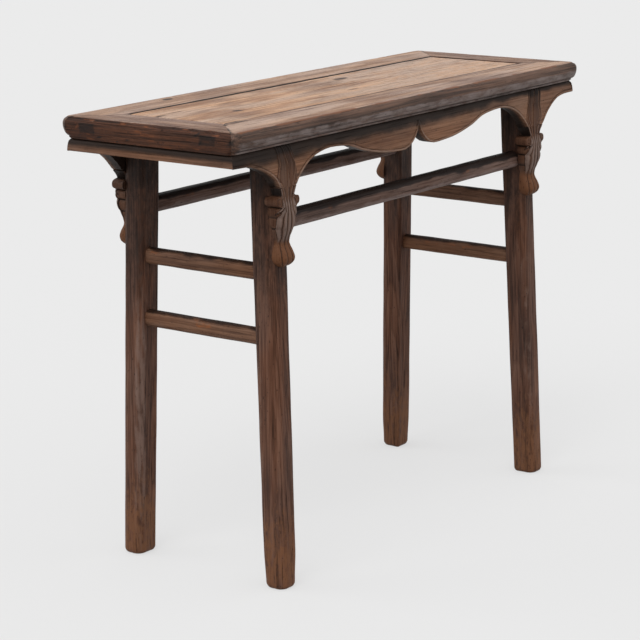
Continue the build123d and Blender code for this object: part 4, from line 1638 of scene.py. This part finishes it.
                lift, wear, soil = mix(out, lift, start), mix(worn, wear, start), mix(dirt_and_shade, soil, start)
            return lift, wear, soil, bare
        turned = self.turned(sign, depth)
        soil = 0.9 * bump(inside, 0.0, 1.3 * MM) * (1 - low)
        lift, wear, bare = -ribs * low, 0.1, mix(0.28, 0.66, low)
        soil = max(soil, 0.85 * grooves * low)
        eye = math.hypot(across - self.volute[0], turned - self.volute[1])
        if turned < self.notches[0] and eye < 9 * MM:
            ring = bump(eye, 4.8 * MM, 1.1 * MM)
            lift += 0.5 * MM * bump(eye, 0.0, 2.5 * MM) - 1.1 * MM * ring
            soil = max(soil, 0.6 * ring)
        for notch in self.notches:
            cut = bump(turned, notch, 1.5 * MM)
            lift -= 1.0 * MM * cut
            # The notch is painted dark, with a wider painted shade above it that rounds each roll.
            soil = max(soil, 0.95 * cut, 0.42 * bump(turned, notch - 1.5 * MM, 4.2 * MM))
        # Painted shade at the top of the rolls, under the neck.
        soil = max(soil, 0.9 * smooth(94 * MM, 90 * MM, turned))
        return lift, wear, soil, bare

    def stem_ring(self, depth: float) -> list[Spot]:
        """One level ring of the stem, which lies in the apron."""
        height = self.aprons.underside - depth
        face = self.aprons.face_y(height) + self.aprons.cove(depth)
        low, high = (edge(depth) for edge in self.stem_edges)
        count = 2 * (self.front_points + self.corner_points + self.side_points) - 1
        ring = []
        for index in range(count):
            share = index / (count - 1)
            across = mix(low, high, share)
            edge = smooth(0.0, 0.05, min(share, 1 - share))
            out, wear, soil = self.carve_stem(across, depth)
            # Painted shade under the top and the arch, with grimy wood: the stem is painted darker towards
            # the top.
            grime_and_shade = max(0.88 * smooth(36 * MM, 4 * MM, depth), 0.5 * smooth(72 * MM, 26 * MM, depth))
            y = face - mix(-self.aprons.field_depth - 1.0 * MM, out, edge)
            ring.append(Spot(Vector((self.place_x(across), y, height)), wear * (1 - grime_and_shade), max(soil, grime_and_shade)))
        back_y = self.aprons.face_y(height) + self.stem_thickness
        for across in (high, 0.0, low):
            ring.append(Spot(Vector((self.place_x(across), back_y, height)), soil=0.9))
        return ring

    def half_section(
        self, half: float, rounding: float, deep: float
    ) -> list[tuple[float, float, float, float]]:
        """One side of a section: the flat of its front, its rounded corner and its side.

        Args:
            half: Half width.
            rounding: Radius of the corner.
            deep: Size from front to back.

        Returns:
            For each point, its place across, its distance back from the front, its reach and the
            turn of its outward direction from the front.
        """
        flat, turn = half - rounding, rounding * math.pi / 2
        flats = [flat * step / self.front_points for step in range(self.front_points)]
        points = [(across, 0.0, across, 0.0) for across in flats]
        for step in range(self.corner_points):
            angle = math.pi / 2 * step / self.corner_points
            across, back = flat + rounding * math.sin(angle), rounding * (1 - math.cos(angle))
            points.append((across, back, flat + rounding * angle, angle))
        side = max(deep - rounding, 0.5 * MM)
        for step in range(self.side_points):
            back = side * step / self.side_points
            points.append((half, rounding + back, flat + turn + back, math.pi / 2))
        return points

    def drop_ring(self, depth: float) -> list[Spot]:
        """One level ring of the drop: its front, rounded corners and sides, and its back."""
        height = self.aprons.underside - depth
        back_y = self.aprons.face_y(height) + self.drop_thickness
        front_y = back_y - self.reaches(depth)
        ring, halves = [], {}
        for sign in (-1, 1):
            half = halves[sign] = self.half(sign, depth)
            rounding = min(self.roundings(depth), half - 0.5 * MM)
            points = self.half_section(half, rounding, back_y - front_y)
            for across, back, reach, turn in reversed(points) if sign < 0 else points[1:]:
                lift, wear, soil, bare = self.carve_drop(sign, reach, depth, across)
                sideways = lift * math.sin(turn) * smooth(92 * MM, 96 * MM, depth)
                x = self.place_x(sign * (across + sideways))
                y = front_y + back - lift * math.cos(turn)
                ring.append(Spot(Vector((x, y, height)), wear, soil, bare))
        for across in (halves[1], 0.0, -halves[-1]):
            ring.append(Spot(Vector((self.place_x(across), back_y, height)), soil=0.5))
        return ring

    def build_one(self, name: str, side: int) -> bpy.types.Object:
        """Build a front spandrel.

        Args:
            name: Name of the piece.
            side: 1 for the right one, -1 for the left one.

        Returns:
            The spandrel.
        """
        self.side = side
        low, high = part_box("spandrel_front_right")
        total, lap = high.z - low.z, self.aprons.lap_depth
        rings = []
        for row in range(self.rows + 1):
            depth = total * row / self.rows
            rings.append(self.stem_ring(depth) if depth < lap else self.drop_ring(depth))
        return Loft(name, rings, math.radians(60)).build()

    def build(self, shop: Workshop) -> None:
        """Build and dress the four spandrels; the rear ones are the front ones turned half round.

        Args:
            shop: Workshop that dresses them.
        """
        left = self.build_one("spandrel_front_left_carved", -1)
        right = self.build_one("spandrel_front_right_carved", 1)
        copies = {
            "front_left": left,
            "rear_right": mirrored_copy(left, "spandrel_rear_right_carved", True, True),
            "rear_left": mirrored_copy(right, "spandrel_rear_left_carved", True, True),
            "front_right": right,
        }
        for corner, piece in copies.items():
            shop.dress(piece, CARVED, Grain.UPRIGHT, f"spandrel_{corner}")


# ---------------------------------------------------------------------------------------------
# Stage
# ---------------------------------------------------------------------------------------------


@dataclass
class Studio:
    """Camera, soft light and a pale floor."""

    yaw: float = math.radians(-52.8087)
    pitch: float = math.radians(13.6042)
    roll: float = math.radians(-0.9214)
    lens: float = 128.35
    target: Point = (-0.0739, -0.00403, 0.4044)
    distance: float = 4.42545
    pale: tuple[int, int, int] = (235, 235, 235)
    floor_half: float = 60.0
    floor_glow: float = 0.7
    bounce: tuple[int, int, int] = (150, 146, 144)
    lit: tuple[int, int, int] = (226, 226, 226)

    def place_camera(self) -> None:
        """Set the camera at the viewing angle."""
        back = Vector((
            math.sin(self.yaw) * math.cos(self.pitch),
            -math.cos(self.yaw) * math.cos(self.pitch),
            math.sin(self.pitch),
        ))
        right = (-back).cross(Vector((0, 0, 1))).normalized()
        up = right.cross(-back)
        turned_right = math.cos(self.roll) * right + math.sin(self.roll) * up
        turned_up = -math.sin(self.roll) * right + math.cos(self.roll) * up
        turn = Matrix((turned_right, turned_up, back)).transposed()
        data = bpy.data.cameras.new("camera")
        data.lens, data.sensor_width = self.lens, 36.0
        camera = bpy.data.objects.new("camera", data)
        bpy.context.scene.collection.objects.link(camera)
        camera.matrix_world = Matrix.Translation(Vector(self.target) + back * self.distance) @ turn.to_4x4()
        bpy.context.scene.camera = camera

    def light(self) -> None:
        """Light the table from a soft overhead sky and three broad lamps."""
        world = bpy.data.worlds.new("studio")
        bpy.context.scene.world = world
        world.use_nodes = True
        world.node_tree.nodes.clear()
        graph = Graph(world.node_tree)
        seen = graph.add("LightPath").outputs["Is Camera Ray"]
        sky = graph.add("Background", {"Color": (1, 1, 1, 1), "Strength": 0.66})
        wall = graph.add("Background", {"Color": srgb(*self.pale), "Strength": 1.0})
        choice = graph.add("MixShader", {0: seen, 1: sky.outputs[0], 2: wall.outputs[0]})
        out = graph.add("OutputWorld")
        graph.feed(out.inputs["Surface"], choice.outputs[0])
        for name, energy, spread, azimuth, height in (
            ("key", 1.0, 40, -75, 52),
            ("fill", 0.45, 90, 10, 40),
            ("rim", 0.55, 40, -150, 30),
        ):
            data = bpy.data.lights.new(name, "SUN")
            data.energy, data.angle = energy, math.radians(spread)
            lamp = bpy.data.objects.new(name, data)
            bpy.context.scene.collection.objects.link(lamp)
            a, e = math.radians(azimuth), math.radians(height)
            towards = Vector((math.sin(a) * math.cos(e), -math.cos(a) * math.cos(e), math.sin(e)))
            lamp.rotation_euler = towards.to_track_quat("Z", "Y").to_euler()

    def lay_floor(self) -> None:
        """Lay the pale floor."""
        bpy.ops.object.select_all(action="DESELECT")
        bpy.ops.mesh.primitive_plane_add(size=2 * self.floor_half)
        floor = bpy.context.object
        floor.name = "floor"
        material = bpy.data.materials.new("pale_floor")
        material.use_nodes = True
        graph = Graph(material.node_tree)
        material.node_tree.nodes.clear()
        path = graph.add("LightPath").outputs
        seen = graph.math("MAXIMUM", path["Is Camera Ray"], path["Is Glossy Ray"])
        seen = graph.math("MAXIMUM", seen, path["Is Transmission Ray"])
        tint = graph.blend(seen, srgb(*self.bounce), srgb(*self.lit))
        matt = {"Base Color": tint, "Roughness": 1.0, "Specular IOR Level": 0.0}
        shader = graph.add("BsdfPrincipled", matt)
        glow = graph.add("Emission", {"Color": srgb(*self.pale), "Strength": 1.0})
        share = graph.math("MULTIPLY", seen, self.floor_glow)
        mixed = graph.add("MixShader", {0: share, 1: shader.outputs[0], 2: glow.outputs[0]})
        out = graph.add("OutputMaterial")
        graph.feed(out.inputs["Surface"], mixed.outputs[0])
        floor.data.materials.append(material)

    def build(self) -> None:
        """Set up the camera, the lamps and the floor."""
        self.place_camera()
        self.light()
        self.lay_floor()
        bpy.context.scene.view_settings.view_transform = "Standard"


def main() -> None:
    """Build the table's sub-assemblies in order and report each piece."""
    logging.basicConfig(level=logging.INFO, format="%(name)s %(message)s")
    Studio().build()
    shop = Workshop({"elm_grain": build_elm_grain(), "patina": build_patina()})
    Top().build(shop)
    Legs().build(shop)
    Stretchers().build(shop)
    aprons = Aprons()
    aprons.build(shop)
    Spandrels(aprons).build(shop)
    log.info("%d pieces dressed", shop.made)


if __name__ == "__main__":
    main()
